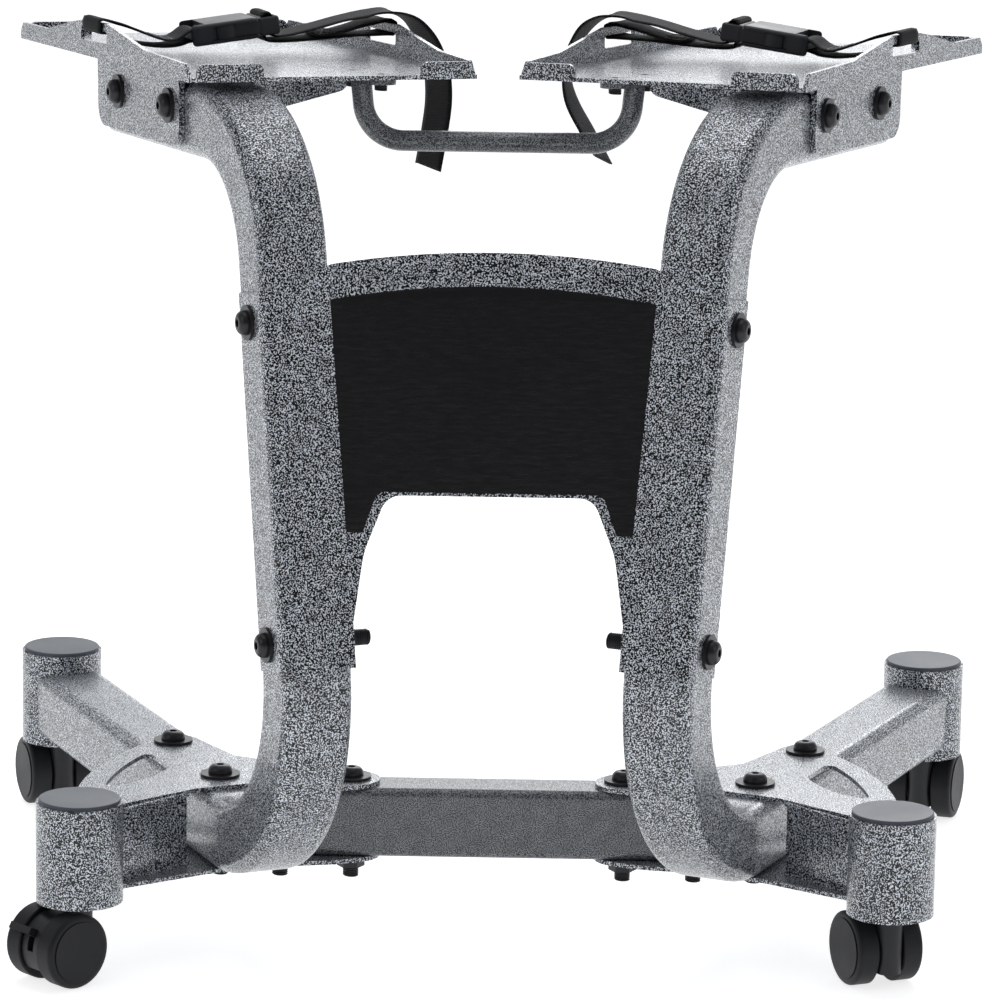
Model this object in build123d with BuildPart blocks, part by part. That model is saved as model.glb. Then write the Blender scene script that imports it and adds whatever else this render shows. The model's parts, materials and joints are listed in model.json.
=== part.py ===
import os
from math import atan2, cos, radians, sin, tan

from build123d import *

os.makedirs("parts", exist_ok=True)

# Wheeled stand for a pair of adjustable dumbbells, in millimetres, Z up, floor at Z = 0.
# The front faces -Y. The right-hand (+X) half is modelled, and the left one is its mirror image.

# Corner posts and caps
post_d = 60.0
post_wall = 3.0
post_height = 70.0
post_base = 6.0
post_bottom = 54.5
front_post_x = 278.5
front_post_y = -204.0
rear_post_y = 228.5
cap_lid = 2.6
cap_inset = 1.7
cap_fit = 0.4
cap_plug_depth = 10.0
cap_plug_wall = 2.5
cap_edge = 1.2

# Square tube of the uprights and rear arms, the crossbar, and the web plates to the front posts
tube = 50.0
tube_wall = 3.0
tube_corner = 9.0
web_plate = 5.0
crossbar_depth = 38.0
small_corner = 6.0

# Base plan: the uprights and rear arms run backwards and outwards at the toe angle
toe_angle = 23.5
foot_x = 188.5
crossbar_y = -92.5
foot_tail = 30.0
web_end_out = 37.0
web_end_front = 28.0
arm_gap = 1.0
weld_gap = 0.1

# Gusset plates above and below the base tubes
plate = 3.0
plate_lift = 3.5
rear_bolt_reach = 98.5
inner_bolt_in = 42.5
tongue_bolt_in = 92.5
bolt_margin = 20.0
tongue_front = 58.0
lower_front = 50.0
lower_front_post = 64.0
upper_front = 27.0
upper_front_post = 50.0
gusset_waist_out = 76.0
gusset_waist_back = 48.0
window_tip_out = 88.0
window_tip_front = 3.0
window_bow_out = 62.5
window_bow_back = 38.0
window_back = 78.0
window_inside = 26.0
window_foot = 34.0
window_sag_out = 52.0
window_sag_back = 9.5
window_corner = 5.0

# Bent path of the uprights
lean = 10.5
lower_bend = 126.0
bend_start = 43.0
straight_top = 502.8
upper_bend = 96.0
tray_pitch = 2.5
top_run = 190.0

# Front panel
panel_sheet = 2.0
panel_gap = 0.1
panel_bottom = 231.0
panel_top_mid = 511.0
panel_top_bend = 502.0
panel_top_side = 487.0
panel_flange = 42.0
panel_bend_inside = 6.0
cutout_top = 350.0
cutout_half_width = 69.0
cutout_corner = 14.0
cutout_knee_z = 312.0
cutout_knee_half = 84.0
cutout_knee_round = 60.0
cutout_foot_z = 262.0
panel_bolt_low = 249.0
panel_bolt_high = 462.0

# Trays
tray_length = 364.0
tray_width = 211.0
sheet = 3.0
tray_roll = 1.6
tray_lead = 28.0
tray_reach = 41.2
rim_height = 12.0
rim_rise = 2.0
fin_height = 26.0
fin_foot = 80.0
hump_height = 21.0
hump_back = 26.0
dip_height = 13.0
dip_back = 70.0
rim_chamfer = 10.0
rim_round = 3.0
lip_start = 6.0
lip_outer = 48.0
lip_inner = 38.0
lip_height = 12.0
lip_round = 5.0
outer_slot = 199.0
inner_slot = 172.0
slot_length = 56.0
slot_height = 9.0
slot_low = 11.0

# Brackets that carry the trays on the uprights
bracket_wall = 4.0
bracket_start = 26.0
bracket_length = 171.0
bracket_depth = 44.0
bracket_gap = 0.3
bracket_round = 14.0
tray_bolt_first = 46.5
tray_bolt_pitch = 105.0
tray_bolt_rise = 8.4
rib_along = 58.0
rib_reach = 109.0
rib_depth = 34.0
rib_tip_depth = 14.0
rib_tip_round = 9.8

# Towing handle between the trays
handle_d = 14.5
handle_drop = 42.2
handle_back = 30.0
handle_in = 137.0
handle_splay = 4.0
handle_bend = 28.0
handle_foot = 4.0
handle_foot_length = 54.0
handle_foot_width = 22.0
handle_foot_turn = 14.0
handle_foot_shift = 4.0
handle_bolt_pitch = 34.0

# Fasteners
bolt_d = 10.0
bolt_head_d = 17.0
bolt_head = 6.0
bolt_head_round = 4.8
bolt_socket_d = 6.0
bolt_socket_depth = 3.5
washer_d = 28.0
washer_small_d = 24.0
washer = 2.2
nut_width = 17.0
nut_height = 8.0
bolt_stub = 7.0
panel_bolt_stub = 12.0
bolt_hole_gap = 0.3
thread_gap = 0.05
handle_bolt_d = 8.0
handle_bolt_head_d = 13.8
handle_bolt_stub = 4.0

# Straps and side-release buckles
webbing = 40.0
webbing_thick = 1.8
strap_gap = 0.4
buckle_width = 48.0
buckle_low = 9.0
buckle_tilt = 8.0
buckle_thick = 15.0
buckle_wall = 2.6
buckle_edge = 2.5
socket_start = 67.5
socket_length = 48.5
socket_bar = 5.0
socket_slot = 5.0
socket_depth = 37.0
socket_window = 34.0
plug_gap = 0.4
plug_bar = 3.5
plug_slot = 3.0
plug_length = 15.5
plug_thick = 13.5
prong_length = 34.0
prong_width = 5.0
button_length = 17.0
button_place = 24.0
sewn_place = 50.0
tail_shift = 70.0
tail_clear = 7.0
tail_end_z = 530.0
tail_arch = 36.0

# Twin-wheel casters
wheel_d = 52.0
wheel_width = 16.0
wheel_shoulder = 3.5
wheel_cap_d = 42.0
wheel_groove = 0.8
wheel_recess = 5.0
hub_d = 15.0
caster_trail = 20.0
caster_width = 17.5
caster_body_d = 47.0
caster_floor_gap = 12.0
caster_top_gap = 2.2
wheel_side_gap = 0.5
axle_d = 6.0
axle_end = 4.0
axle_gap = 0.05
wheel_bore_gap = 0.08
stem_d = 10.0
stem_gap = 0.05
stem_depth = 30.0
stem_collar_d = 17.0
stem_collar_gap = 0.2
pedal_hub_d = 12.0
pedal_web = 5.0
pedal_gap = 0.5
pedal_arm = 5.0
pedal_tip = 3.0
pedal_tip_height = 5.0
pedal_tip_gap = 0.8
pedal_over_wheel = 8.0
pedal_rest = 31.0
pedal_travel = 24.0
caster_turns = {"left_front": 223.8, "right_front": 113.0, "left_rear": 111.7, "right_rear": 73.0}

# Directions and levels that follow from the sizes above
toe = radians(toe_angle)
back_dir = Vector(sin(toe), cos(toe), 0)
out_dir = Vector(cos(toe), -sin(toe), 0)
foot_point = Vector(foot_x, crossbar_y, 0)
post_top = post_bottom + post_height
plate_low = post_bottom + plate_lift
tube_low = plate_low + plate
foot_z = tube_low + tube / 2
plate_high = tube_low + tube
plate_top = plate_high + plate
rear_post_x = foot_x + (rear_post_y - crossbar_y) * tan(toe)
front_post = Vector(front_post_x, front_post_y, 0)
rear_post = Vector(rear_post_x, rear_post_y, 0)
post_places = {"front": front_post, "rear": rear_post}
bolt_hole = bolt_d + 2 * bolt_hole_gap


def save(piece, name):
    """Label one finished piece and write its file."""
    piece.part.label = name
    export_step(piece.part, f"parts/{name}.step")


def save_pair(piece, name):
    """Write a right-hand piece and its mirror image."""
    save(piece, f"right_{name}")
    with BuildPart() as twin:
        mirror(piece.part, about=Plane.YZ)
    save(twin, f"left_{name}")


def base_point(out, back, z=0.0):
    """Point given by its distances outwards and backwards from the foot bolt."""
    return foot_point + out_dir * out + back_dir * back + Vector(0, 0, z)


def base_local(point):
    """Distances outwards and backwards from the foot bolt to a point."""
    away = point - foot_point
    return (away.dot(out_dir), away.dot(back_dir))


def tube_section(width, height, corner, wall):
    """Hollow rounded rectangle in the current sketch."""
    RectangleRounded(width, height, corner)
    RectangleRounded(width - 2 * wall, height - 2 * wall, corner - wall, mode=Mode.SUBTRACT)


# Base bolts: one through each rear arm, one through each foot, two through each end of the crossbar
along_bar = Vector(-1, 0, 0)
arm_bolt = base_point(0, rear_bolt_reach)
foot_bolt = base_point(0, 0)
inner_bolt = foot_point + along_bar * inner_bolt_in
tongue_bolt = foot_point + along_bar * tongue_bolt_in
base_bolt_points = [arm_bolt, foot_bolt, inner_bolt, tongue_bolt]


def drill_base(points):
    """Vertical bolt holes through a tube or a plate of the base."""
    with Locations(*[(p.X, p.Y, foot_z) for p in points]):
        Cylinder(bolt_hole / 2, 2 * tube, mode=Mode.SUBTRACT)


def clear_post(centre):
    """Cut the round seat of a corner post."""
    with Locations((centre.X, centre.Y, post_bottom)):
        Cylinder(post_d / 2 + weld_gap, 2 * post_height, mode=Mode.SUBTRACT)


# Corner posts: tubes with a socket plate for the caster stem in the bottom
stem_hole = stem_d + 2 * thread_gap
for place, centre in post_places.items():
    with BuildPart() as post:
        with BuildSketch(Plane((centre.X, centre.Y, post_bottom))):
            Circle(post_d / 2)
            Circle(stem_hole / 2, mode=Mode.SUBTRACT)
        extrude(amount=post_base)
        with BuildSketch(Plane((centre.X, centre.Y, post_bottom))):
            Circle(post_d / 2)
            Circle(post_d / 2 - post_wall, mode=Mode.SUBTRACT)
        extrude(amount=post_height)
    save_pair(post, f"{place}_post")

    # Moulded cap, a lid with a plug that sits inside the tube
    with BuildPart() as cap:
        plug_radius = post_d / 2 - post_wall - cap_fit
        with BuildSketch(Plane((centre.X, centre.Y, post_top))):
            Circle(post_d / 2 - cap_inset)
        extrude(amount=cap_lid)
        fillet(cap.edges().group_by(Axis.Z)[-1], radius=cap_edge)
        with BuildSketch(Plane((centre.X, centre.Y, post_top))):
            Circle(plug_radius)
            Circle(plug_radius - cap_plug_wall, mode=Mode.SUBTRACT)
        extrude(amount=-cap_plug_depth)
    save_pair(cap, f"{place}_cap")

# Rear arm, in line with the foot of the upright
arm_start = base_point(0, foot_tail + arm_gap, foot_z)
with BuildPart() as rear_arm:
    with BuildSketch(Plane(arm_start, x_dir=out_dir, z_dir=back_dir)):
        tube_section(tube, tube, tube_corner, tube_wall)
    extrude(amount=base_local(rear_post)[1] - foot_tail - arm_gap)
    clear_post(rear_post)
    drill_base([arm_bolt])
save_pair(rear_arm, "rear_arm")

# Front arm: an upright web plate between the gusset plates, from the front post to the foot
web_end = base_point(web_end_out, -web_end_front)
web_dir = (web_end - front_post).normalized()
web_side = web_dir.cross(Vector(0, 0, 1))
with BuildPart() as front_arm:
    with BuildSketch(Plane(front_post + Vector(0, 0, foot_z), x_dir=web_side, z_dir=web_dir)):
        Rectangle(web_plate, tube)
    extrude(amount=(web_end - front_post).length)
    clear_post(front_post)
save_pair(front_arm, "front_arm")

# Crossbar between the feet, its ends cut parallel to them
foot_side = tube / 2 + weld_gap
with BuildPart() as crossbar:
    bar_half = foot_x
    with BuildSketch(Plane((-bar_half, crossbar_y, foot_z), x_dir=(0, 1, 0), z_dir=(1, 0, 0))):
        tube_section(crossbar_depth, tube, small_corner, tube_wall)
    extrude(amount=2 * bar_half)
    split(bisect_by=Plane(base_point(-foot_side, 0), z_dir=out_dir), keep=Keep.BOTTOM)
    mirrored_side = base_point(-foot_side, 0)
    left_face = Plane((-mirrored_side.X, mirrored_side.Y, 0), z_dir=(-out_dir.X, out_dir.Y, 0))
    split(bisect_by=left_face, keep=Keep.BOTTOM)
    drill_base([inner_bolt, tongue_bolt])
    drill_base([Vector(-inner_bolt.X, inner_bolt.Y, 0), Vector(-tongue_bolt.X, tongue_bolt.Y, 0)])
save(crossbar, "base_crossbar")


def gusset(height, post_reach, foot_reach):
    """Plate that ties the front post, rear arm, foot and crossbar; the reaches are its front at post and foot."""
    post_out, post_back = base_local(front_post)
    tongue_out, tongue_back = base_local(tongue_bolt)
    plane = Plane(foot_point + Vector(0, 0, height), x_dir=out_dir, z_dir=(0, 0, 1))
    with BuildSketch(plane) as window:
        with BuildLine():
            bow = ThreePointArc(
                (window_tip_out, -window_tip_front),
                (window_bow_out, window_bow_back),
                (window_inside, window_back),
            )
            inside = Line(bow @ 1, (window_inside, window_foot))
            ThreePointArc(inside @ 1, (window_sag_out, window_sag_back), bow @ 0)
        make_face()
        fillet(window.vertices(), radius=window_corner)
    with BuildPart() as piece:
        with BuildSketch(plane):
            with BuildLine():
                front_run = Polyline(
                    (post_out, post_back),
                    (post_out - post_d / 2, -post_reach),
                    (tube / 2 + plate, -foot_reach),
                    (-tube / 2 - plate, -foot_reach),
                    (tongue_out + bolt_margin, -tongue_front),
                    (tongue_out, -tongue_front),
                )
                tongue_end = ThreePointArc(
                    front_run @ 1,
                    (tongue_out - bolt_margin, tongue_back),
                    (tongue_out, tongue_back + bolt_margin),
                )
                back_run = Polyline(
                    tongue_end @ 1,
                    (-tube / 2 - plate, gusset_waist_back),
                    (-bolt_margin, rear_bolt_reach),
                )
                rear_end = ThreePointArc(
                    back_run @ 1,
                    (0, rear_bolt_reach + bolt_margin),
                    (bolt_margin, rear_bolt_reach + plate),
                )
                outer_edge = ThreePointArc(
                    rear_end @ 1,
                    (gusset_waist_out, gusset_waist_back),
                    (post_out - plate, post_back + bolt_margin),
                )
                Line(outer_edge @ 1, front_run @ 0)
            make_face()
        extrude(amount=plate)
        extrude(window.sketch, amount=plate, mode=Mode.SUBTRACT)
        clear_post(front_post)
        drill_base(base_bolt_points)
    return piece


save_pair(gusset(plate_low, lower_front_post, lower_front), "bottom_plate")
save_pair(gusset(plate_high, upper_front_post, upper_front), "top_plate")

# Upright: one square tube bent to a C in a vertical plane at the toe angle
upright_plane = Plane(foot_point, x_dir=back_dir, z_dir=out_dir)
with BuildPart() as upright:
    with BuildLine(upright_plane) as upright_path:
        foot_run = Line((foot_tail, foot_z), (-bend_start, foot_z))
        lower_arc = JernArc(foot_run @ 1, foot_run % 1, lower_bend, -(90 + lean))
        rise = straight_top - (lower_arc @ 1).Z
        column = Line(lower_arc @ 1, lower_arc @ 1 + (lower_arc % 1) * (rise / cos(radians(lean))))
        upper_arc = JernArc(column @ 1, column % 1, upper_bend, -(90 - lean + tray_pitch))
        top_line = Line(upper_arc @ 1, upper_arc @ 1 + (upper_arc % 1) * top_run)
    with BuildSketch(Plane(foot_run @ 0, x_dir=out_dir, z_dir=foot_run % 0)):
        tube_section(tube, tube, tube_corner, tube_wall)
    sweep(path=upright_path.wires()[0])

    column_start = column @ 0
    column_dir = column % 0
    top_start = top_line @ 0
    top_dir = top_line % 0
    panel_bolt_points = [
        column_start + column_dir * ((z - column_start.Z) / column_dir.Z)
        for z in (panel_bolt_low, panel_bolt_high)
    ]
    top_up = top_dir.cross(out_dir * -1)
    tray_bolt_points = [
        top_start + top_dir * along + top_up * tray_bolt_rise
        for along in (tray_bolt_first, tray_bolt_first + tray_bolt_pitch)
    ]
    side_bolt_points = panel_bolt_points + tray_bolt_points
    drill_base([foot_bolt])
    with Locations(*[Plane(p, x_dir=back_dir, z_dir=out_dir) for p in side_bolt_points]):
        Cylinder(bolt_hole / 2, 2 * tube, mode=Mode.SUBTRACT)
save_pair(upright, "upright")

# Front panel: a sheet bent round the front and outer faces of both uprights
column_front = out_dir.cross(column_dir)
face_offset = tube / 2 + panel_gap
front_corner = column_start + column_front * face_offset - out_dir * face_offset
outer_corner = column_start + column_front * face_offset + out_dir * face_offset


def along_column(point, z):
    """Point at height z on the line through a point along the column."""
    return point + column_dir * ((z - point.Z) / column_dir.Z)


mid_up = Vector(0, column_dir.Y, column_dir.Z).normalized()
mid_front = Vector(0, -mid_up.Z, mid_up.Y)
mid_plane = Plane(Vector(0, front_corner.Y, front_corner.Z), x_dir=(1, 0, 0), z_dir=mid_front)


def on_mid(x, z):
    """Sketch coordinates on the flat middle of the panel for a place in X and height."""
    return (x, (z - front_corner.Z) / mid_up.Z)


bend_high = along_column(front_corner, panel_top_bend)
bend_foot = along_column(front_corner, cutout_foot_z)
wing_run = along_column(outer_corner, panel_top_side) - bend_high
wing_top = Plane(bend_high, x_dir=wing_run, z_dir=column_front.cross(wing_run))
wrap_mid = face_offset + panel_sheet / 2
wrap_plane = Plane(along_column(column_start, panel_bottom), x_dir=out_dir, z_dir=column_dir)
with BuildPart() as panel:
    with BuildSketch(mid_plane) as middle:
        with BuildLine():
            crown = ThreePointArc(
                on_mid(-bend_high.X, panel_top_bend),
                on_mid(0, panel_top_mid),
                on_mid(bend_high.X, panel_top_bend),
            )
            Polyline(
                crown @ 1,
                on_mid(bend_foot.X, cutout_foot_z),
                on_mid(cutout_knee_half, cutout_knee_z),
                on_mid(cutout_half_width, cutout_top),
                on_mid(-cutout_half_width, cutout_top),
                on_mid(-cutout_knee_half, cutout_knee_z),
                on_mid(-bend_foot.X, cutout_foot_z),
                crown @ 0,
            )
        make_face()
        fillet(middle.vertices().sort_by(Axis.Y)[2:4], radius=cutout_knee_round)
        fillet(middle.vertices().sort_by(Axis.Y)[-4:-2], radius=cutout_corner)
    extrude(amount=panel_sheet)
    with BuildSketch(wrap_plane):
        with BuildLine():
            FilletPolyline(
                (-face_offset, -wrap_mid),
                (wrap_mid, -wrap_mid),
                (wrap_mid, panel_flange - wrap_mid),
                radius=panel_bend_inside + panel_sheet / 2,
            )
        trace(line_width=panel_sheet)
    extrude(amount=(panel_top_mid - panel_bottom) / column_dir.Z)
    split(bisect_by=wing_top, keep=Keep.BOTTOM)
    with Locations(*[Plane(p, x_dir=back_dir, z_dir=out_dir) for p in panel_bolt_points]):
        Cylinder(bolt_hole / 2, 2 * tube, mode=Mode.SUBTRACT)
    split(bisect_by=Plane.YZ, keep=Keep.TOP)
    mirror(about=Plane.YZ)
save(panel, "front_panel")

# Frame of the tray: x backwards along it, y inwards, z up, origin at its outer front corner
roll = radians(tray_roll)
bracket_half = tube / 2 + bracket_gap + bracket_wall
top_plane = Plane(top_start, x_dir=top_dir, z_dir=top_up)
tray_up = top_plane.z_dir * cos(roll) + top_plane.y_dir * sin(roll)
bracket_edge = top_plane.from_local_coords((-tray_lead, bracket_half, tube / 2 + bracket_wall))
hinge_plane = Plane(bracket_edge, x_dir=top_dir, z_dir=tray_up)
tray_origin = hinge_plane.from_local_coords((0, -bracket_half - tray_reach, 0))
tray_plane = Plane(tray_origin, x_dir=top_dir, z_dir=tray_up)
in_dir = tray_plane.y_dir


def on_tray(along, inward, up):
    """Point in the tray's own frame."""
    return tray_plane.from_local_coords((along, inward, up))


def side_plane(inward):
    """Upright sketch plane along the tray; it faces outwards."""
    return Plane(on_tray(0, inward, 0), x_dir=tray_plane.x_dir, z_dir=in_dir * -1)


def cross_plane(along):
    """Upright sketch plane across the tray; it faces backwards."""
    return Plane(on_tray(along, 0, 0), x_dir=in_dir, z_dir=tray_plane.x_dir)


handle_foot_plane = Plane(
    on_tray(handle_back, handle_in + handle_foot_shift, 0),
    x_dir=tray_plane.x_dir * cos(radians(handle_foot_turn)) - in_dir * sin(radians(handle_foot_turn)),
    z_dir=tray_up,
)
handle_bolt_places = [(-handle_bolt_pitch / 2, 0), (handle_bolt_pitch / 2, 0)]
handle_bolt_hole = handle_bolt_d + 2 * bolt_hole_gap

# Tray: a folded sheet with slotted rims along its sides and lips at its corners
with BuildPart() as tray:
    with BuildSketch(tray_plane):
        Rectangle(tray_length, tray_width, align=(Align.MIN, Align.MIN))
    extrude(amount=sheet)
    with Locations(handle_foot_plane):
        with Locations(*[(x, y, sheet / 2) for x, y in handle_bolt_places]):
            Cone(
                handle_bolt_d / 2 + thread_gap,
                handle_bolt_head_d / 2 + thread_gap,
                sheet,
                mode=Mode.SUBTRACT,
            )
    for inward, slot_mid in ((sheet, outer_slot), (tray_width, inner_slot)):
        slot_front = slot_mid - slot_length / 2
        slot_back = slot_mid + slot_length / 2
        with BuildSketch(side_plane(inward)) as rim:
            with BuildLine():
                Polyline(
                    (0, 0),
                    (rim_chamfer, rim_height),
                    (slot_front - fin_foot, rim_height + rim_rise),
                    (slot_front, fin_height),
                    (slot_back, fin_height - sheet / 2),
                    (slot_back + hump_back, hump_height),
                    (slot_back + dip_back, dip_height),
                    (slot_back + dip_back + rim_chamfer, rim_height),
                    (tray_length - rim_chamfer / 2, rim_height),
                    (tray_length, rim_height / 2),
                    (tray_length, 0),
                    close=True,
                )
            make_face()
            fillet(rim.vertices().filter_by(lambda v: v.Y > rim_height - rim_round), radius=rim_round)
            with Locations((slot_mid, slot_low + slot_height / 2)):
                RectangleRounded(slot_length, slot_height, slot_height / 4, mode=Mode.SUBTRACT)
        extrude(amount=sheet)
    for along in (0, tray_length - sheet):
        for low, wide in ((lip_start, lip_outer), (tray_width - sheet - lip_inner, lip_inner)):
            with BuildSketch(cross_plane(along)) as lip:
                with Locations((low, 0)):
                    Rectangle(wide, lip_height, align=(Align.MIN, Align.MIN))
                fillet(lip.vertices().filter_by(lambda v: v.Y > lip_height / 2), radius=lip_round)
            extrude(amount=sheet)
save_pair(tray, "tray")

# Bracket: a channel over the end of the upright, with a tapered rib that reaches inwards under the tray
rib_plane = cross_plane(rib_along + tray_lead)
rib_root = tray_reach + tube / 2 + bracket_gap + bracket_wall / 2
rib_end = tray_reach + rib_reach
with BuildPart() as bracket:
    with BuildSketch(Plane(top_start + top_dir * bracket_start, x_dir=top_plane.y_dir, z_dir=top_dir)):
        with Locations((0, tube / 2 + bracket_wall)):
            Rectangle(2 * bracket_half, bracket_depth + bracket_wall, align=(Align.CENTER, Align.MAX))
        with Locations((0, tube / 2)):
            Rectangle(
                tube + 2 * bracket_gap,
                bracket_depth,
                align=(Align.CENTER, Align.MAX),
                mode=Mode.SUBTRACT,
            )
    extrude(amount=bracket_length)
    fillet(
        bracket.edges().filter_by(Axis((0, 0, 0), top_plane.y_dir)).sort_by(Axis.Z)[:4],
        radius=bracket_round,
    )
    with BuildSketch(rib_plane) as rib:
        with BuildLine():
            Polyline(
                (rib_root, 0),
                (rib_end, 0),
                (rib_end, -rib_tip_depth),
                (rib_root, -rib_depth),
                close=True,
            )
        make_face()
        fillet(rib.vertices().sort_by(Axis.X)[-2:].sort_by(Axis.Y)[:1], radius=rib_tip_round)
    extrude(amount=bracket_wall)
    with Locations(*[Plane(p, x_dir=back_dir, z_dir=out_dir) for p in tray_bolt_points]):
        Cylinder(bolt_hole / 2, 2 * tube, mode=Mode.SUBTRACT)
save_pair(bracket, "tray_bracket")

# Towing handle: a round bar bent to a U, with a foot bolted under each tray
handle_top = on_tray(handle_back, handle_in, -handle_foot / 2)
handle_z = handle_top.Z - handle_drop
with BuildPart() as handle:
    handle_plane = Plane((0, handle_top.Y, 0), x_dir=(1, 0, 0), z_dir=(0, -1, 0))
    with BuildLine(handle_plane) as handle_path:
        FilletPolyline(
            (-handle_top.X, handle_top.Z),
            (-handle_top.X + handle_splay, handle_z),
            (handle_top.X - handle_splay, handle_z),
            (handle_top.X, handle_top.Z),
            radius=handle_bend,
        )
    with BuildSketch(Plane(handle_path.wires()[0] @ 0, z_dir=handle_path.wires()[0] % 0)):
        Circle(handle_d / 2)
    sweep(path=handle_path.wires()[0])
    with BuildSketch(handle_foot_plane.offset(-handle_foot)):
        SlotOverall(handle_foot_length, handle_foot_width)
        with Locations(*handle_bolt_places):
            Circle(handle_bolt_hole / 2, mode=Mode.SUBTRACT)
    extrude(amount=handle_foot)
    split(bisect_by=tray_plane, keep=Keep.BOTTOM)
    split(bisect_by=Plane.YZ, keep=Keep.TOP)
    mirror(about=Plane.YZ)
save(handle, "tow_handle")

# Frame of the strap: x across it, y inwards from slot to slot, z up; the buckle's inner end is tipped up
skew = atan2(outer_slot - inner_slot, tray_width)
strap_in = in_dir * cos(skew) - tray_plane.x_dir * sin(skew)
strap_plane = Plane(on_tray(outer_slot, 0, 0), x_dir=strap_in.cross(tray_up), z_dir=tray_up)
strap_section = Plane(strap_plane.origin, x_dir=strap_in, z_dir=strap_plane.x_dir)
tilt = radians(buckle_tilt)
buckle_up = tray_up * cos(tilt) - strap_in * sin(tilt)
buckle_origin = strap_plane.from_local_coords((0, socket_start, buckle_low))
buckle_plane = Plane(buckle_origin, x_dir=strap_plane.x_dir, z_dir=buckle_up)
buckle_rise = Axis(buckle_origin, buckle_up)


def on_buckle(inward, up):
    """Place in the strap's section of a place in the buckle's own section."""
    return (
        socket_start + inward * cos(tilt) - up * sin(tilt),
        buckle_low + inward * sin(tilt) + up * cos(tilt),
    )


def rim_loop(along, inward):
    """Turn of webbing through a slot and over the rim above it."""
    with BuildPart() as loop:
        with BuildSketch(cross_plane(along)):
            with Locations((inward, (bar_low + fin_height) / 2)):
                loop_wide = sheet + 2 * strap_gap
                loop_tall = fin_height - bar_low + 2 * strap_gap
                RectangleRounded(loop_wide + 2 * webbing_thick, loop_tall + 2 * webbing_thick, webbing_thick)
                RectangleRounded(loop_wide, loop_tall, half_web, mode=Mode.SUBTRACT)
        extrude(amount=webbing / 2, both=True)
    return loop.part


# Outer strap: a sewn loop from the outer rim to the buckle's socket
bar_low = slot_low + slot_height
half_web = webbing_thick / 2
rim_clear = sheet + strap_gap + half_web
loop_low = bar_low - strap_gap - half_web
loop_high = fin_height + strap_gap + half_web
socket_mid = buckle_thick / 2
socket_bar_mid = on_buckle(socket_bar / 2, socket_mid)
with BuildPart() as outer_strap:
    with BuildSketch(strap_section):
        with BuildLine():
            Polyline((0, loop_high), (rim_clear, loop_high), (sewn_place, socket_bar_mid[1]))
        trace(line_width=webbing_thick)
        with BuildLine():
            Polyline((0, loop_low), (rim_clear, loop_low), (sewn_place, socket_bar_mid[1] - half_web))
        trace(line_width=webbing_thick)
        with BuildLine():
            Line((sewn_place - half_web, socket_bar_mid[1]), on_buckle(-strap_gap - half_web, socket_mid))
        trace(line_width=2 * webbing_thick)
        with Locations(Location(socket_bar_mid, buckle_tilt)):
            loop_size = socket_bar + 2 * strap_gap
            RectangleRounded(loop_size + 2 * webbing_thick, loop_size + 2 * webbing_thick, webbing_thick)
            RectangleRounded(loop_size, loop_size, half_web, mode=Mode.SUBTRACT)
    extrude(amount=webbing / 2, both=True)
    split(bisect_by=Plane(on_tray(0, rim_clear, 0), z_dir=in_dir), keep=Keep.TOP)
    add(rim_loop(outer_slot, sheet / 2))
save_pair(outer_strap, "outer_strap")

# Buckle socket: a flat shell, open at the mouth and along its sides, with a bar for the outer strap
socket_inside = buckle_thick - 2 * buckle_wall
with BuildPart() as socket:
    with BuildSketch(buckle_plane):
        with Locations((0, socket_length / 2)):
            RectangleRounded(buckle_width, socket_length, 2 * buckle_edge)
    extrude(amount=buckle_thick)
    fillet(socket.faces().sort_by(buckle_rise)[-1].edges(), radius=buckle_edge)
    fillet(socket.faces().sort_by(buckle_rise)[0].edges(), radius=buckle_edge)
    with BuildSketch(buckle_plane.offset(buckle_wall)):
        with Locations((0, socket_length)):
            Rectangle(buckle_width - 2 * buckle_wall, socket_depth, align=(Align.CENTER, Align.MAX))
            Rectangle(2 * buckle_width, socket_window, align=(Align.CENTER, Align.MAX))
    extrude(amount=socket_inside, mode=Mode.SUBTRACT)
    with BuildSketch(buckle_plane):
        with Locations((0, socket_bar)):
            Rectangle(webbing + 2 * strap_gap, socket_slot, align=(Align.CENTER, Align.MIN))
    extrude(amount=buckle_thick, mode=Mode.SUBTRACT)
    bar_thin = (buckle_thick - socket_bar) / 2
    for low in (0, buckle_thick - bar_thin):
        with BuildSketch(buckle_plane.offset(low)):
            Rectangle(webbing + 2 * strap_gap, socket_bar + strap_gap, align=(Align.CENTER, Align.MIN))
        extrude(amount=bar_thin, mode=Mode.SUBTRACT)
save_pair(socket, "buckle_socket")

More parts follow.
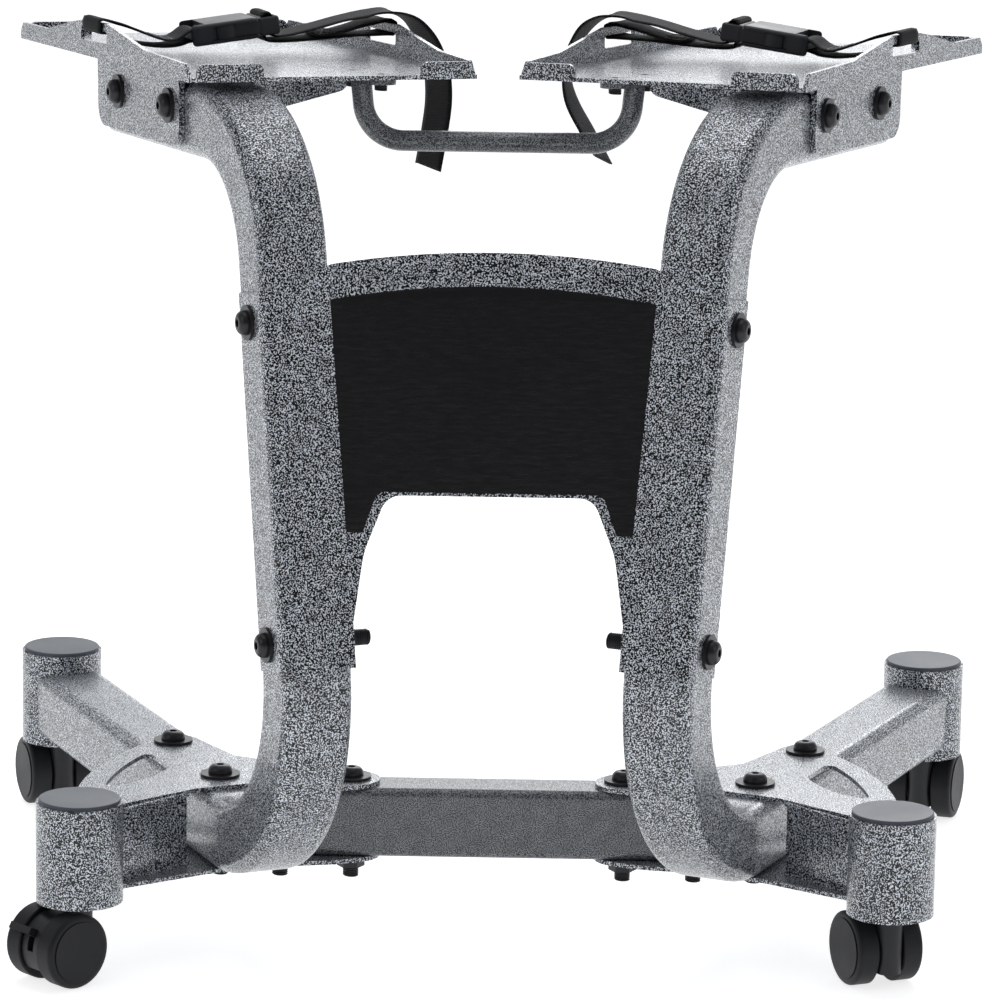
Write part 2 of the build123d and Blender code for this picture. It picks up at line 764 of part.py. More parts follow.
# Buckle plug: two sprung prongs with side buttons, a guide tongue and a ladder for the inner strap
plug_start = socket_length + plug_gap
plug_end = plug_start + plug_length
plug_low = socket_mid - plug_thick / 2
prong_thick = socket_inside - 2 * plug_gap
prong_out = buckle_width / 2 - buckle_wall - plug_gap
ladder_slot = plug_end - 2 * plug_bar - 2 * plug_slot
with BuildPart() as plug:
    with BuildSketch(buckle_plane.offset(plug_low)):
        with Locations((0, plug_start + plug_length / 2)):
            RectangleRounded(buckle_width - 2 * buckle_edge, plug_length, buckle_edge)
    extrude(amount=plug_thick)
    fillet(plug.faces().sort_by(buckle_rise)[-1].edges(), radius=buckle_edge)
    fillet(plug.faces().sort_by(buckle_rise)[0].edges(), radius=buckle_edge)
    with BuildSketch(buckle_plane.offset(plug_low)):
        for n in (0, 1):
            with Locations((0, ladder_slot + n * (plug_slot + plug_bar))):
                Rectangle(webbing + 2 * strap_gap, plug_slot, align=(Align.CENTER, Align.MIN))
    extrude(amount=plug_thick, mode=Mode.SUBTRACT)
    with BuildSketch(buckle_plane.offset(socket_mid - prong_thick / 2)):
        for side in (-1, 1):
            prong_place = side * (prong_out - prong_width / 2)
            with Locations((prong_place, plug_start + buckle_edge)):
                Rectangle(prong_width, prong_length + buckle_edge, align=(Align.CENTER, Align.MAX))
            with Locations((prong_place, plug_start - button_place)):
                Ellipse(prong_width / 2 + buckle_wall, button_length / 2)
        with Locations((0, plug_start + buckle_edge)):
            Rectangle(2 * prong_width, prong_length + buckle_edge, align=(Align.CENTER, Align.MAX))
    extrude(amount=prong_thick)
save_pair(plug, "buckle_plug")

# Inner strap: from the inner rim under the ladder, round its bar and back over the rim as a free tail
ladder_mid = ladder_slot + plug_slot / 2
under = plug_low - half_web
over = plug_low + plug_thick + strap_gap + half_web
strap_length = tray_width / cos(skew)
tail_out = (tray_width + tail_clear + (tail_shift + webbing / 2) * sin(skew)) / cos(skew)
tail_start = on_buckle(plug_end, over)
tail_top = (tail_start[0] + tail_out) / 2
tail_low = on_tray(inner_slot - tail_shift, tray_width, 0).Z - tail_end_z
with BuildPart() as tail:
    with BuildSketch(strap_section):
        with BuildLine():
            FilletPolyline(
                tail_start,
                (tail_top, tail_arch),
                (tail_out, tail_arch),
                (tail_out, -tail_low),
                radius=tail_clear,
            )
        trace(line_width=webbing_thick)
    extrude(amount=tray_length / 2, both=True)
    with BuildSketch(strap_plane.offset(-tail_low)):
        half = webbing / 2
        with BuildLine():
            Polyline(
                (-half, 0),
                (half, 0),
                (half, tail_start[0] + plug_bar),
                (half - tail_shift, strap_length - sheet),
                (half - tail_shift, 2 * tray_width),
                (-half - tail_shift, 2 * tray_width),
                (-half - tail_shift, strap_length - sheet),
                (-half, tail_start[0] + plug_bar),
                close=True,
            )
        make_face()
    extrude(amount=2 * tail_low, mode=Mode.INTERSECT)
with BuildPart() as inner_strap:
    with BuildSketch(strap_section):
        with BuildLine():
            FilletPolyline(
                (strap_length, loop_low),
                on_buckle(plug_end + plug_length, under),
                on_buckle(ladder_mid, under),
                on_buckle(ladder_mid, over),
                on_buckle(plug_end + half_web, over),
                radius=half_web,
            )
        trace(line_width=webbing_thick)
    extrude(amount=webbing / 2, both=True)
    split(bisect_by=Plane(on_tray(0, tray_width - rim_clear, 0), z_dir=in_dir), keep=Keep.BOTTOM)
    add(rim_loop(inner_slot, tray_width - sheet / 2))
    add(tail.part)
save_pair(inner_strap, "inner_strap")


def button_bolt(shaft_d, length, head_d, head, head_round):
    """Round-headed socket bolt, its head above the XY plane and its shank below."""
    with BuildPart() as piece:
        with BuildSketch():
            Circle(shaft_d / 2)
        extrude(amount=-length)
        with BuildSketch():
            Circle(head_d / 2)
        extrude(amount=head)
        fillet(piece.edges().group_by(Axis.Z)[-1], radius=head_round)
        with BuildSketch(Plane.XY.offset(head)):
            RegularPolygon(bolt_socket_d / 2, 6)
        extrude(amount=-bolt_socket_depth, mode=Mode.SUBTRACT)
    return piece.part


def flush_bolt(shaft_d, length, head_d, head):
    """Countersunk socket bolt, the top of its head on the XY plane."""
    with BuildPart() as piece:
        with BuildSketch(Plane.XZ):
            with BuildLine():
                Polyline(
                    (0, 0),
                    (head_d / 2, 0),
                    (shaft_d / 2, -head),
                    (shaft_d / 2, -length),
                    (0, -length),
                    close=True,
                )
            make_face()
        revolve(axis=Axis.Z)
        with BuildSketch():
            RegularPolygon(bolt_socket_d / 2, 6)
        extrude(amount=-head, mode=Mode.SUBTRACT)
    return piece.part


def mirrored(planes):
    """The given bolt planes and their mirror images."""
    twins = [
        Plane(
            (-p.origin.X, p.origin.Y, p.origin.Z),
            x_dir=(-p.x_dir.X, p.x_dir.Y, p.x_dir.Z),
            z_dir=(-p.z_dir.X, p.z_dir.Y, p.z_dir.Z),
        )
        for p in planes
    ]
    return planes + twins


def group(solid, planes, name):
    """One node of equal small parts, one on each plane."""
    with BuildPart() as pieces:
        with Locations(*planes):
            add(solid)
    save(pieces, name)


def ring(outer_d, inner_d, height):
    """Flat ring on the XY plane."""
    with BuildPart() as piece:
        with BuildSketch():
            Circle(outer_d / 2)
            Circle(inner_d / 2, mode=Mode.SUBTRACT)
        extrude(amount=height)
    return piece.part


def hex_nut():
    """Hexagon nut on the XY plane."""
    with BuildPart() as piece:
        with BuildSketch():
            RegularPolygon(nut_width / 2, 6, major_radius=False)
            Circle(bolt_d / 2 + thread_gap, mode=Mode.SUBTRACT)
        extrude(amount=nut_height)
    return piece.part


def side_planes(points, out):
    """Planes that face outwards at a distance from the upright's centre plane."""
    return [Plane(p + out_dir * out, x_dir=back_dir, z_dir=out_dir) for p in points]


# Fasteners, each kind a group
panel_face = face_offset + panel_sheet
base_seats = [Plane((p.X, p.Y, plate_top)) for p in base_bolt_points]
base_heads = [p.offset(washer) for p in base_seats]
base_nuts = [Plane((p.X, p.Y, plate_low - nut_height)) for p in base_bolt_points]
panel_seats = side_planes(panel_bolt_points, panel_face)
tray_seats = side_planes(tray_bolt_points, bracket_half)
panel_nuts = side_planes(panel_bolt_points, -tube / 2 - nut_height)
tray_nuts = side_planes(tray_bolt_points, -bracket_half - nut_height)
handle_seats = [
    Plane(handle_foot_plane.from_local_coords((x, y, sheet)), x_dir=handle_foot_plane.x_dir, z_dir=tray_up)
    for x, y in handle_bolt_places
]
bolt_tail = washer + nut_height + bolt_stub
panel_bolt_tail = washer + nut_height + panel_bolt_stub
base_grip = plate_top - plate_low
panel_grip = panel_face + tube / 2
tray_grip = 2 * bracket_half
frame_head = (bolt_head_d, bolt_head, bolt_head_round)
base_bolt = button_bolt(bolt_d, base_grip + bolt_tail, *frame_head)
panel_bolt = button_bolt(bolt_d, panel_grip + panel_bolt_tail, *frame_head)
tray_bolt = button_bolt(bolt_d, tray_grip + bolt_tail, *frame_head)
handle_bolt = flush_bolt(handle_bolt_d, sheet + handle_foot + handle_bolt_stub, handle_bolt_head_d, sheet)
group(base_bolt, mirrored(base_heads), "base_bolts")
group(panel_bolt, mirrored([p.offset(washer) for p in panel_seats]), "panel_bolts")
group(tray_bolt, mirrored([p.offset(washer) for p in tray_seats]), "tray_bolts")
group(handle_bolt, mirrored(handle_seats), "handle_bolts")
with BuildPart() as washers:
    with Locations(*mirrored(base_seats)):
        add(ring(washer_d, bolt_hole, washer))
    with Locations(*mirrored(panel_seats + tray_seats)):
        add(ring(washer_small_d, bolt_hole, washer))
save(washers, "washers")
group(hex_nut(), mirrored(base_nuts + panel_nuts + tray_nuts), "nuts")

# Casters, modelled with the swivel axis at the origin and the wheels trailing towards +X
wheel_radius = wheel_d / 2
axle_z = wheel_radius
body_top = post_bottom - caster_top_gap
half_width = caster_width / 2
wheel_inner = half_width + wheel_side_gap
wheel_outer = wheel_inner + wheel_width
axle_half = wheel_outer - axle_end
axle_plane = Plane((caster_trail, 0, axle_z), x_dir=(1, 0, 0), z_dir=(0, -1, 0))
tip_radius = wheel_radius + pedal_tip_gap
slot_half = pedal_web / 2 + pedal_gap
stem_low = body_top - stem_depth
shoulder_height = axle_z + caster_body_d / 4 - caster_floor_gap

with BuildPart() as caster_body:
    with BuildSketch(Plane.XZ) as profile:
        with Locations((-half_width, caster_floor_gap)):
            Rectangle(caster_width, body_top - caster_floor_gap, align=(Align.MIN, Align.MIN))
            Rectangle(caster_trail + half_width, shoulder_height, align=(Align.MIN, Align.MIN))
        with Locations((caster_trail, axle_z)):
            Circle(caster_body_d / 2)
        with Locations((caster_trail, caster_floor_gap)):
            Rectangle(2 * wheel_d, wheel_d, align=(Align.CENTER, Align.MAX), mode=Mode.SUBTRACT)
    extrude(amount=half_width, both=True)
    nose = caster_body.edges().filter_by(Axis.Z).sort_by(Axis.X)[:2]
    fillet(nose, radius=half_width - wheel_side_gap)
    with Locations((0, 0, stem_low)):
        Cylinder(
            stem_d / 2 + stem_gap,
            stem_depth + caster_top_gap,
            align=(Align.CENTER, Align.CENTER, Align.MIN),
            mode=Mode.SUBTRACT,
        )
    with Locations(axle_plane):
        Cylinder(axle_d / 2 + axle_gap, 2 * wheel_outer, mode=Mode.SUBTRACT)
    pedal_low = pedal_rest - pedal_travel
    with BuildSketch(axle_plane):
        Circle(pedal_hub_d / 2 + pedal_gap)
        for angle in (pedal_rest, pedal_low):
            with Locations(Location((0, 0), angle)):
                Rectangle(wheel_d, pedal_arm + 2 * pedal_gap, align=(Align.MIN, Align.CENTER))
        with BuildLine():
            Polyline(
                (0, 0),
                (wheel_d * cos(radians(pedal_low)), wheel_d * sin(radians(pedal_low))),
                (wheel_d * cos(radians(pedal_rest)), wheel_d * sin(radians(pedal_rest))),
                close=True,
            )
        make_face()
    extrude(amount=slot_half, both=True, mode=Mode.SUBTRACT)

with BuildPart() as caster_axle:
    with Locations(axle_plane):
        Cylinder(axle_d / 2, 2 * axle_half)

with BuildPart() as wheel:
    cap_radius = wheel_cap_d / 2
    with BuildSketch(Plane((caster_trail, 0, axle_z), x_dir=(0, 0, 1), z_dir=(1, 0, 0))):
        with BuildLine():
            rim_start = Polyline(
                (0, wheel_outer),
                (cap_radius, wheel_outer),
                (cap_radius, wheel_outer - wheel_groove),
                (cap_radius + wheel_groove, wheel_outer - wheel_groove),
            )
            shoulder = Spline(
                rim_start @ 1,
                (wheel_radius, wheel_outer - wheel_shoulder - wheel_groove),
                tangents=[(1, 0), (0, -1)],
            )
            Polyline(
                shoulder @ 1,
                (wheel_radius, wheel_inner + wheel_groove),
                (wheel_radius - wheel_groove, wheel_inner),
                (wheel_radius - wheel_recess, wheel_inner),
                (wheel_radius - wheel_recess, wheel_inner + wheel_recess),
                (hub_d / 2, wheel_inner + wheel_recess),
                (hub_d / 2, wheel_inner),
                (axle_d / 2 + wheel_bore_gap, wheel_inner),
                (axle_d / 2 + wheel_bore_gap, axle_half + wheel_side_gap),
                (0, axle_half + wheel_side_gap),
                (0, wheel_outer),
            )
        make_face()
    revolve(axis=Axis((caster_trail, 0, axle_z), (0, 1, 0)))

with BuildPart() as far_wheel:
    mirror(wheel.part, about=Plane.XZ)

with BuildPart() as pedal:
    with BuildSketch(axle_plane):
        Circle(pedal_hub_d / 2)
        with Locations(Location((0, 0), pedal_rest)):
            Rectangle(tip_radius + pedal_tip, pedal_arm, align=(Align.MIN, Align.CENTER))
        Circle(axle_d / 2 + wheel_bore_gap, mode=Mode.SUBTRACT)
    extrude(amount=pedal_web / 2, both=True)
    with BuildSketch(axle_plane.offset(-pedal_web / 2)):
        with Locations(Location((0, 0), pedal_rest)):
            with Locations((tip_radius, 0)):
                Rectangle(pedal_tip, pedal_tip_height, align=(Align.MIN, Align.CENTER))
    extrude(amount=pedal_web + half_width + pedal_over_wheel)

caster_pieces = {
    "caster_body": caster_body,
    "axle": caster_axle,
    "near_wheel": wheel,
    "far_wheel": far_wheel,
    "brake_pedal": pedal,
}
caster_places = {}
for corner, turn in caster_turns.items():
    side, end = corner.split("_")
    centre = post_places[end]
    x = centre.X if side == "right" else -centre.X
    caster_places[corner] = Location((x, centre.Y, 0), (0, 0, turn))
    for piece_name, solid in caster_pieces.items():
        with BuildPart() as placed:
            with Locations(caster_places[corner]):
                add(solid.part)
        save(placed, f"{corner}_{piece_name}")

# Caster stems: pins fixed in the posts, with a collar that bears on the caster body
with BuildPart() as stem:
    with BuildSketch(Plane.XY.offset(stem_low + stem_collar_gap)):
        Circle(stem_d / 2)
    extrude(amount=post_bottom + post_base - stem_low - stem_collar_gap)
    with BuildSketch(Plane.XY.offset(body_top + stem_collar_gap)):
        Circle(stem_collar_d / 2)
    extrude(amount=post_bottom - body_top - stem_collar_gap)
group(stem.part, list(caster_places.values()), "caster_stems")
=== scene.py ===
# %% [markdown]
# # A wheeled stand for a pair of adjustable dumbbells
# The stand is made of bent square tube, sheet-metal trays, a folded front panel and four twin-wheel casters.
# Its rigid pieces come from the CAD model, already in place and in metres. This lesson gives each of them its
# finish and models what CAD leaves plain: the webbing straps, the bolt threads, the weld beads and the stitches.

# %% The CAD model is loaded as a fixed frame
import json
import math

import bmesh
import bpy
from mathutils import Matrix, Vector


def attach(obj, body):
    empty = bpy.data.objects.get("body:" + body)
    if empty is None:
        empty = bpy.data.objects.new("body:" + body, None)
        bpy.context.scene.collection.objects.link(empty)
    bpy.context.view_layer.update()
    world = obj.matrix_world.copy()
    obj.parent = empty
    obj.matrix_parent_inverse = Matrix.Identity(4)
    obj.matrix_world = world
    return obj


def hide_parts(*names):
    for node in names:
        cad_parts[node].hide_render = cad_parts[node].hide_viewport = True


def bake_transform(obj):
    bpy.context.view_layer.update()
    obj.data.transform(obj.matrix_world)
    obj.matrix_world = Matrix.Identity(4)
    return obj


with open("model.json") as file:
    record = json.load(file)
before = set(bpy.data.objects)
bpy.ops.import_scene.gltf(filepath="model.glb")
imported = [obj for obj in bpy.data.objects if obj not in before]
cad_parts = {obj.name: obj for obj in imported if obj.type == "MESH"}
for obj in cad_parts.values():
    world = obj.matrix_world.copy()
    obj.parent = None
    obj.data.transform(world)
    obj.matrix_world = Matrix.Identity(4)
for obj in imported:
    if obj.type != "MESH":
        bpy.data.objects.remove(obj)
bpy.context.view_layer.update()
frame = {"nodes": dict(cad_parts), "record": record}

nodes = frame["nodes"]
record = frame["record"]
mm = 0.001

# %% [markdown]
# ## Camera
# The stand is seen from in front, a little from above, through a long lens, so that its sides stay almost parallel.
# A camera could be aimed with a constraint, but here its three axes are built from a tilt, a turn and a roll, which
# keeps every angle as one readable number.

# %% Camera
image_side = 1000.0
focal_pixels = 5508.0
sensor_width = 36.0
camera_place = Vector((0.028, -3.8428, 1.135))
camera_tilt = math.radians(12.32)
camera_turn = math.radians(-0.34)
camera_roll = math.radians(0.86)


def add_object(name, data):
    """Puts an object with this mesh, lamp or camera into the scene."""
    made = bpy.data.objects.new(name, data)
    bpy.context.scene.collection.objects.link(made)
    return made


def place_camera():
    """Builds the camera's axes from its angles."""
    ahead = Vector((
        math.sin(camera_turn) * math.cos(camera_tilt),
        math.cos(camera_turn) * math.cos(camera_tilt),
        -math.sin(camera_tilt),
    ))
    level = Vector((math.cos(camera_turn), -math.sin(camera_turn), 0.0))
    above = level.cross(ahead)
    right = level * math.cos(camera_roll) + above * math.sin(camera_roll)
    upright = above * math.cos(camera_roll) - level * math.sin(camera_roll)
    data = bpy.data.cameras.new("camera")
    data.sensor_width = sensor_width
    data.lens = focal_pixels / image_side * sensor_width
    data.clip_end = 100.0
    made = add_object("camera", data)
    made.matrix_world = Matrix.Translation(camera_place) @ Matrix((right, upright, -ahead)).transposed().to_4x4()
    bpy.context.scene.camera = made
    return made


camera = place_camera()
bpy.context.scene.view_settings.view_transform = "Standard"
print("camera lens:", round(camera.data.lens, 1), "mm")

# %% [markdown]
# ## Floor and studio light
# A product picture is taken on a pale sweep between large soft boxes, with the camera's own side kept darker, so that
# black paint stays black and only the edges gleam. The world gives the even part of that light: dim in front, bright
# behind, where the flat trays mirror it. Four area lamps give the rest. The floor is lifted for the camera, so that it
# looks white and still takes the stand's shadow.

# %% Helpers for node trees
def add_node(tree, kind, **values):
    """Adds a node and sets its properties or, by name, its inputs."""
    node = tree.nodes.new(kind)
    for key, value in values.items():
        if hasattr(node, key):
            setattr(node, key, value)
        else:
            set_inputs(node, **{key: value})
    return node


def set_inputs(node, **values):
    """Sets a node's inputs by name, with _ for a space."""
    for key, value in values.items():
        node.inputs[key.replace("_", " ")].default_value = value


def join(tree, source, socket, target, name):
    """Links an output to an input, each by its name or number."""
    tree.links.new(source.outputs[socket], target.inputs[name])


def new_material(name):
    """A material, its tree and its Principled shader."""
    material = bpy.data.materials.new(name)
    material.use_nodes = True
    return material, material.node_tree, material.node_tree.nodes["Principled BSDF"]


# %% World
world_tone = (0.95, 0.97, 1.0, 1.0)
world_levels = ((-0.95, 0.22), (-0.2, 0.34), (0.45, 0.42), (0.9, 1.0))


def make_world():
    """A world that grows brighter from the camera's side to the back, level by level."""
    world = bpy.data.worlds.new("studio")
    bpy.context.scene.world = world
    world.use_nodes = True
    tree = world.node_tree
    tree.nodes.clear()
    where = add_node(tree, "ShaderNodeTexCoord")
    parts = add_node(tree, "ShaderNodeSeparateXYZ")
    light = add_node(tree, "ShaderNodeBackground", Color=world_tone)
    out = add_node(tree, "ShaderNodeOutputWorld")
    join(tree, where, "Generated", parts, "Vector")
    total = add_node(tree, "ShaderNodeValue")
    total.outputs[0].default_value = world_levels[0][1]
    for (start, low), (end, high) in zip(world_levels, world_levels[1:]):
        rise = add_node(tree, "ShaderNodeMapRange", From_Min=start, From_Max=end, To_Max=high - low)
        both = add_node(tree, "ShaderNodeMath", operation="ADD")
        join(tree, parts, "Y", rise, "Value")
        join(tree, total, 0, both, 0)
        join(tree, rise, "Result", both, 1)
        total = both
    join(tree, total, 0, light, "Strength")
    join(tree, light, "Background", out, "Surface")


make_world()
print("world levels, front to back:", [level for place, level in world_levels])

# %% Floor
floor_side = 60.0
floor_tone = (0.72, 0.73, 0.74, 1.0)
floor_lift = 0.76


def make_floor():
    """A wide pale floor that the camera, mirrors and glass see a little brighter."""
    mesh = bpy.data.meshes.new("floor")
    half = floor_side / 2
    mesh.from_pydata([(-half, -half, 0), (half, -half, 0), (half, half, 0), (-half, half, 0)], [], [(0, 1, 2, 3)])
    material, tree, surface = new_material("pale_floor")
    set_inputs(surface, Base_Color=floor_tone, Roughness=0.9, Specular_IOR_Level=0.1, Emission_Color=(1, 1, 1, 1))
    path = add_node(tree, "ShaderNodeLightPath")
    first = add_node(tree, "ShaderNodeMath", operation="MAXIMUM")
    second = add_node(tree, "ShaderNodeMath", operation="MAXIMUM")
    lift = add_node(tree, "ShaderNodeMath", operation="MULTIPLY")
    lift.inputs[1].default_value = floor_lift
    join(tree, path, "Is Camera Ray", first, 0)
    join(tree, path, "Is Glossy Ray", first, 1)
    join(tree, first, 0, second, 0)
    join(tree, path, "Is Transmission Ray", second, 1)
    join(tree, second, 0, lift, 0)
    join(tree, lift, 0, surface, "Emission Strength")
    mesh.materials.append(material)
    add_object("floor", mesh)


make_floor()
print("floor side:", floor_side, "m")

# %% Lamps
stand_middle = (0.0, 0.0, 0.35)


def soft_box(name, place, target, side, power):
    """A square area lamp that faces a point."""
    data = bpy.data.lights.new(name, "AREA")
    data.size = side
    data.energy = power
    lamp = add_object(name, data)
    lamp.location = place
    lamp.rotation_euler = (Vector(target) - Vector(place)).to_track_quat("-Z", "Y").to_euler()


soft_box("left_box", (-2.2, -1.3, 1.7), stand_middle, 1.5, 7.0)
soft_box("right_box", (2.2, -1.1, 1.6), stand_middle, 1.5, 6.0)
soft_box("top_box", (0.0, 0.2, 2.6), stand_middle, 1.8, 13.0)
soft_box("back_box", (0.3, 2.4, 1.6), stand_middle, 1.5, 16.0)

# %% [markdown]
# ## Shared effects for the finishes
# The frame's paint is a silver-vein coat: while it dries, bright flakes gather into patches about a millimetre
# across and leave a dark web between them. A picture of such paint would repeat, so a noise that is cut near its
# middle gives that labyrinth. The same effect, finer and with less contrast, is the grey hammer paint of the
# crossbar and the handle, so it is one node group with its sizes and colours as inputs. A second group gives
# moulded plastic its fine grain and the faint uneven tone that keeps a large plain face from looking printed.

# %% Vein paint group
number = "NodeSocketFloat"
colour = "NodeSocketColor"


def new_group(name, inputs, outputs):
    """A shader group with named float or colour sockets, its input and output nodes ready."""
    group = bpy.data.node_groups.new(name, "ShaderNodeTree")
    for label, kind, value in inputs:
        socket = group.interface.new_socket(name=label, in_out="INPUT", socket_type=kind)
        socket.default_value = value
    for label, kind in outputs:
        group.interface.new_socket(name=label, in_out="OUTPUT", socket_type=kind)
    return group, group.nodes.new("NodeGroupInput"), group.nodes.new("NodeGroupOutput")


def vein_group():
    """Flakes in a dark web: a colour, a mask of the flakes and a height."""
    group, given, result = new_group(
        "vein_paint",
        [("Scale", number, 620.0), ("Cut", number, 0.5), ("Softness", number, 0.04),
         ("Ground", colour, (0.01, 0.01, 0.01, 1)), ("Flake", colour, (0.5, 0.5, 0.5, 1))],
        [("Color", colour), ("Mask", number), ("Height", number)],
    )
    where = add_node(group, "ShaderNodeTexCoord")
    noise = add_node(group, "ShaderNodeTexNoise", Detail=0.0)
    low = add_node(group, "ShaderNodeMath", operation="SUBTRACT")
    high = add_node(group, "ShaderNodeMath", operation="ADD")
    cut = add_node(group, "ShaderNodeMapRange", interpolation_type="SMOOTHSTEP")
    tone = add_node(group, "ShaderNodeTexNoise", Scale=90.0, Detail=2.0)
    shade = add_node(group, "ShaderNodeMapRange", From_Min=0.3, From_Max=0.7, To_Min=0.82, To_Max=1.12)
    flake = add_node(group, "ShaderNodeMix", data_type="RGBA", blend_type="MULTIPLY", Factor=1.0)
    mix = add_node(group, "ShaderNodeMix", data_type="RGBA")
    join(group, where, "Object", noise, "Vector")
    join(group, where, "Object", tone, "Vector")
    join(group, given, "Scale", noise, "Scale")
    join(group, given, "Cut", low, 0)
    join(group, given, "Softness", low, 1)
    join(group, given, "Cut", high, 0)
    join(group, given, "Softness", high, 1)
    join(group, noise, "Fac", cut, "Value")
    join(group, low, 0, cut, "From Min")
    join(group, high, 0, cut, "From Max")
    join(group, tone, "Fac", shade, "Value")
    join(group, given, "Flake", flake, "A")
    join(group, shade, "Result", flake, "B")
    join(group, cut, "Result", mix, "Factor")
    join(group, given, "Ground", mix, "A")
    join(group, flake, "Result", mix, "B")
    join(group, mix, "Result", result, "Color")
    join(group, cut, "Result", result, "Mask")
    join(group, noise, "Fac", result, "Height")
    return group


vein_paint = vein_group()
print("paint group:", vein_paint.name)


# %% Moulded grain group
def grain_group():
    """Fine spark-eroded grain of a moulded piece, with a slow drift of tone."""
    group, given, result = new_group(
        "moulded_grain",
        [("Color", colour, (0.05, 0.05, 0.05, 1)), ("Grain", number, 2600.0), ("Drift", number, 26.0),
         ("Shine", number, 0.42)],
        [("Color", colour), ("Roughness", number), ("Height", number)],
    )
    where = add_node(group, "ShaderNodeTexCoord")
    fine = add_node(group, "ShaderNodeTexNoise", Detail=2.0)
    slow = add_node(group, "ShaderNodeTexNoise", Detail=3.0)
    shade = add_node(group, "ShaderNodeMapRange", From_Min=0.3, From_Max=0.7, To_Min=0.86, To_Max=1.14)
    tint = add_node(group, "ShaderNodeMix", data_type="RGBA", blend_type="MULTIPLY", Factor=1.0)
    gloss = add_node(group, "ShaderNodeMapRange", From_Min=0.3, From_Max=0.7, To_Min=-0.06, To_Max=0.06)
    rough = add_node(group, "ShaderNodeMath", operation="ADD")
    join(group, where, "Object", fine, "Vector")
    join(group, where, "Object", slow, "Vector")
    join(group, given, "Grain", fine, "Scale")
    join(group, given, "Drift", slow, "Scale")
    join(group, slow, "Fac", shade, "Value")
    join(group, slow, "Fac", gloss, "Value")
    join(group, given, "Color", tint, "A")
    join(group, shade, "Result", tint, "B")
    join(group, given, "Shine", rough, 0)
    join(group, gloss, "Result", rough, 1)
    join(group, tint, "Result", result, "Color")
    join(group, rough, 0, result, "Roughness")
    join(group, fine, "Fac", result, "Height")
    return group


moulded_grain = grain_group()
print("grain group:", moulded_grain.name)

# %% [markdown]
# ## Finishes
# Each material places a shared group with its own values and keeps its Principled shader to itself. Paint has a
# clear coat: seen flat it shows the dark web, and at a glancing angle the coat mirrors the pale room, which is why
# the sides of the tubes look lighter and calmer than their fronts. Plastics are rougher and carry their grain as a
# small bump. Steel is plated, or blackened in a bath.

# %% Kinds of material
def use_group(tree, group, **values):
    """Places a node group and sets its inputs."""
    node = add_node(tree, "ShaderNodeGroup", node_tree=group)
    set_inputs(node, **values)
    return node


def bump(tree, surface, source, socket, strength, distance):
    """Feeds a height into the shader's normal."""
    node = add_node(tree, "ShaderNodeBump", Strength=strength, Distance=distance)
    join(tree, source, socket, node, "Height")
    join(tree, node, "Normal", surface, "Normal")


def paint(name, ground, flake, scale, cut, softness, metal, coat):
    """A veined or hammered paint under a clear coat."""
    material, tree, surface = new_material(name)
    vein = use_group(tree, vein_paint, Scale=scale, Cut=cut, Softness=softness, Ground=ground, Flake=flake)
    join(tree, vein, "Color", surface, "Base Color")
    shine = add_node(tree, "ShaderNodeMath", operation="MULTIPLY")
    join(tree, vein, "Mask", shine, 0)
    shine.inputs[1].default_value = metal
    join(tree, shine, 0, surface, "Metallic")
    set_inputs(surface, Roughness=0.42, Specular_IOR_Level=0.15, Coat_Weight=coat, Coat_Roughness=0.16)
    bump(tree, surface, vein, "Height", 0.12, 0.0004)
    return material


def plastic(name, colour, shine, gloss, grain, strength):
    """A moulded plastic with a fine grain: shine is its roughness, gloss the strength of its mirror."""
    material, tree, surface = new_material(name)
    moulded = use_group(tree, moulded_grain, Color=colour, Grain=grain, Shine=shine)
    join(tree, moulded, "Color", surface, "Base Color")
    join(tree, moulded, "Roughness", surface, "Roughness")
    set_inputs(surface, Specular_IOR_Level=gloss)
    bump(tree, surface, moulded, "Height", strength, 0.0002)
    return material


def steel(name, colour, metal, shine):
    """Plated or blackened steel, with the drift of tone that a bath leaves."""
    material, tree, surface = new_material(name)
    bath = use_group(tree, moulded_grain, Color=colour, Grain=1500.0, Drift=140.0, Shine=shine)
    join(tree, bath, "Color", surface, "Base Color")
    join(tree, bath, "Roughness", surface, "Roughness")
    set_inputs(surface, Metallic=metal)
    bump(tree, surface, bath, "Height", 0.1, 0.0002)
    return material


# %% Finishes
paints = {
    "silver_vein": dict(
        ground=(0.002, 0.0022, 0.003, 1), flake=(0.86, 0.9, 0.97, 1),
        scale=1080.0, cut=0.55, softness=0.01, metal=0.35, coat=0.7),
    "hammer_grey": dict(
        ground=(0.05, 0.053, 0.058, 1), flake=(0.34, 0.35, 0.37, 1),
        scale=1300.0, cut=0.5, softness=0.07, metal=0.25, coat=0.5),
}
plastics = {
    "cap_plastic": dict(colour=(0.095, 0.11, 0.135, 1), shine=0.4, gloss=0.4, grain=2200.0, strength=0.25),
    "caster_plastic": dict(colour=(0.018, 0.019, 0.022, 1), shine=0.42, gloss=0.4, grain=2200.0, strength=0.25),
    "wheel_plastic": dict(colour=(0.011, 0.012, 0.014, 1), shine=0.5, gloss=0.3, grain=2200.0, strength=0.3),
    "buckle_plastic": dict(colour=(0.018, 0.019, 0.023, 1), shine=0.42, gloss=0.45, grain=2600.0, strength=0.2),
}
steels = {
    "bright_steel": dict(colour=(0.62, 0.62, 0.6, 1), metal=1.0, shine=0.3),
    "black_steel": dict(colour=(0.03, 0.03, 0.033, 1), metal=0.6, shine=0.34),
}
finishes = {
    name: make(name, **values)
    for make, kind in ((paint, paints), (plastic, plastics), (steel, steels))
    for name, values in kind.items()
}
print("finishes:", sorted(finishes))


# %% Finishes on the CAD nodes
def slot_of(node):
    """The record's material slot of a CAD node, read from the material that the frame gave it."""
    materials = nodes[node].data.materials
    return materials[0].name if materials and materials[0] else None


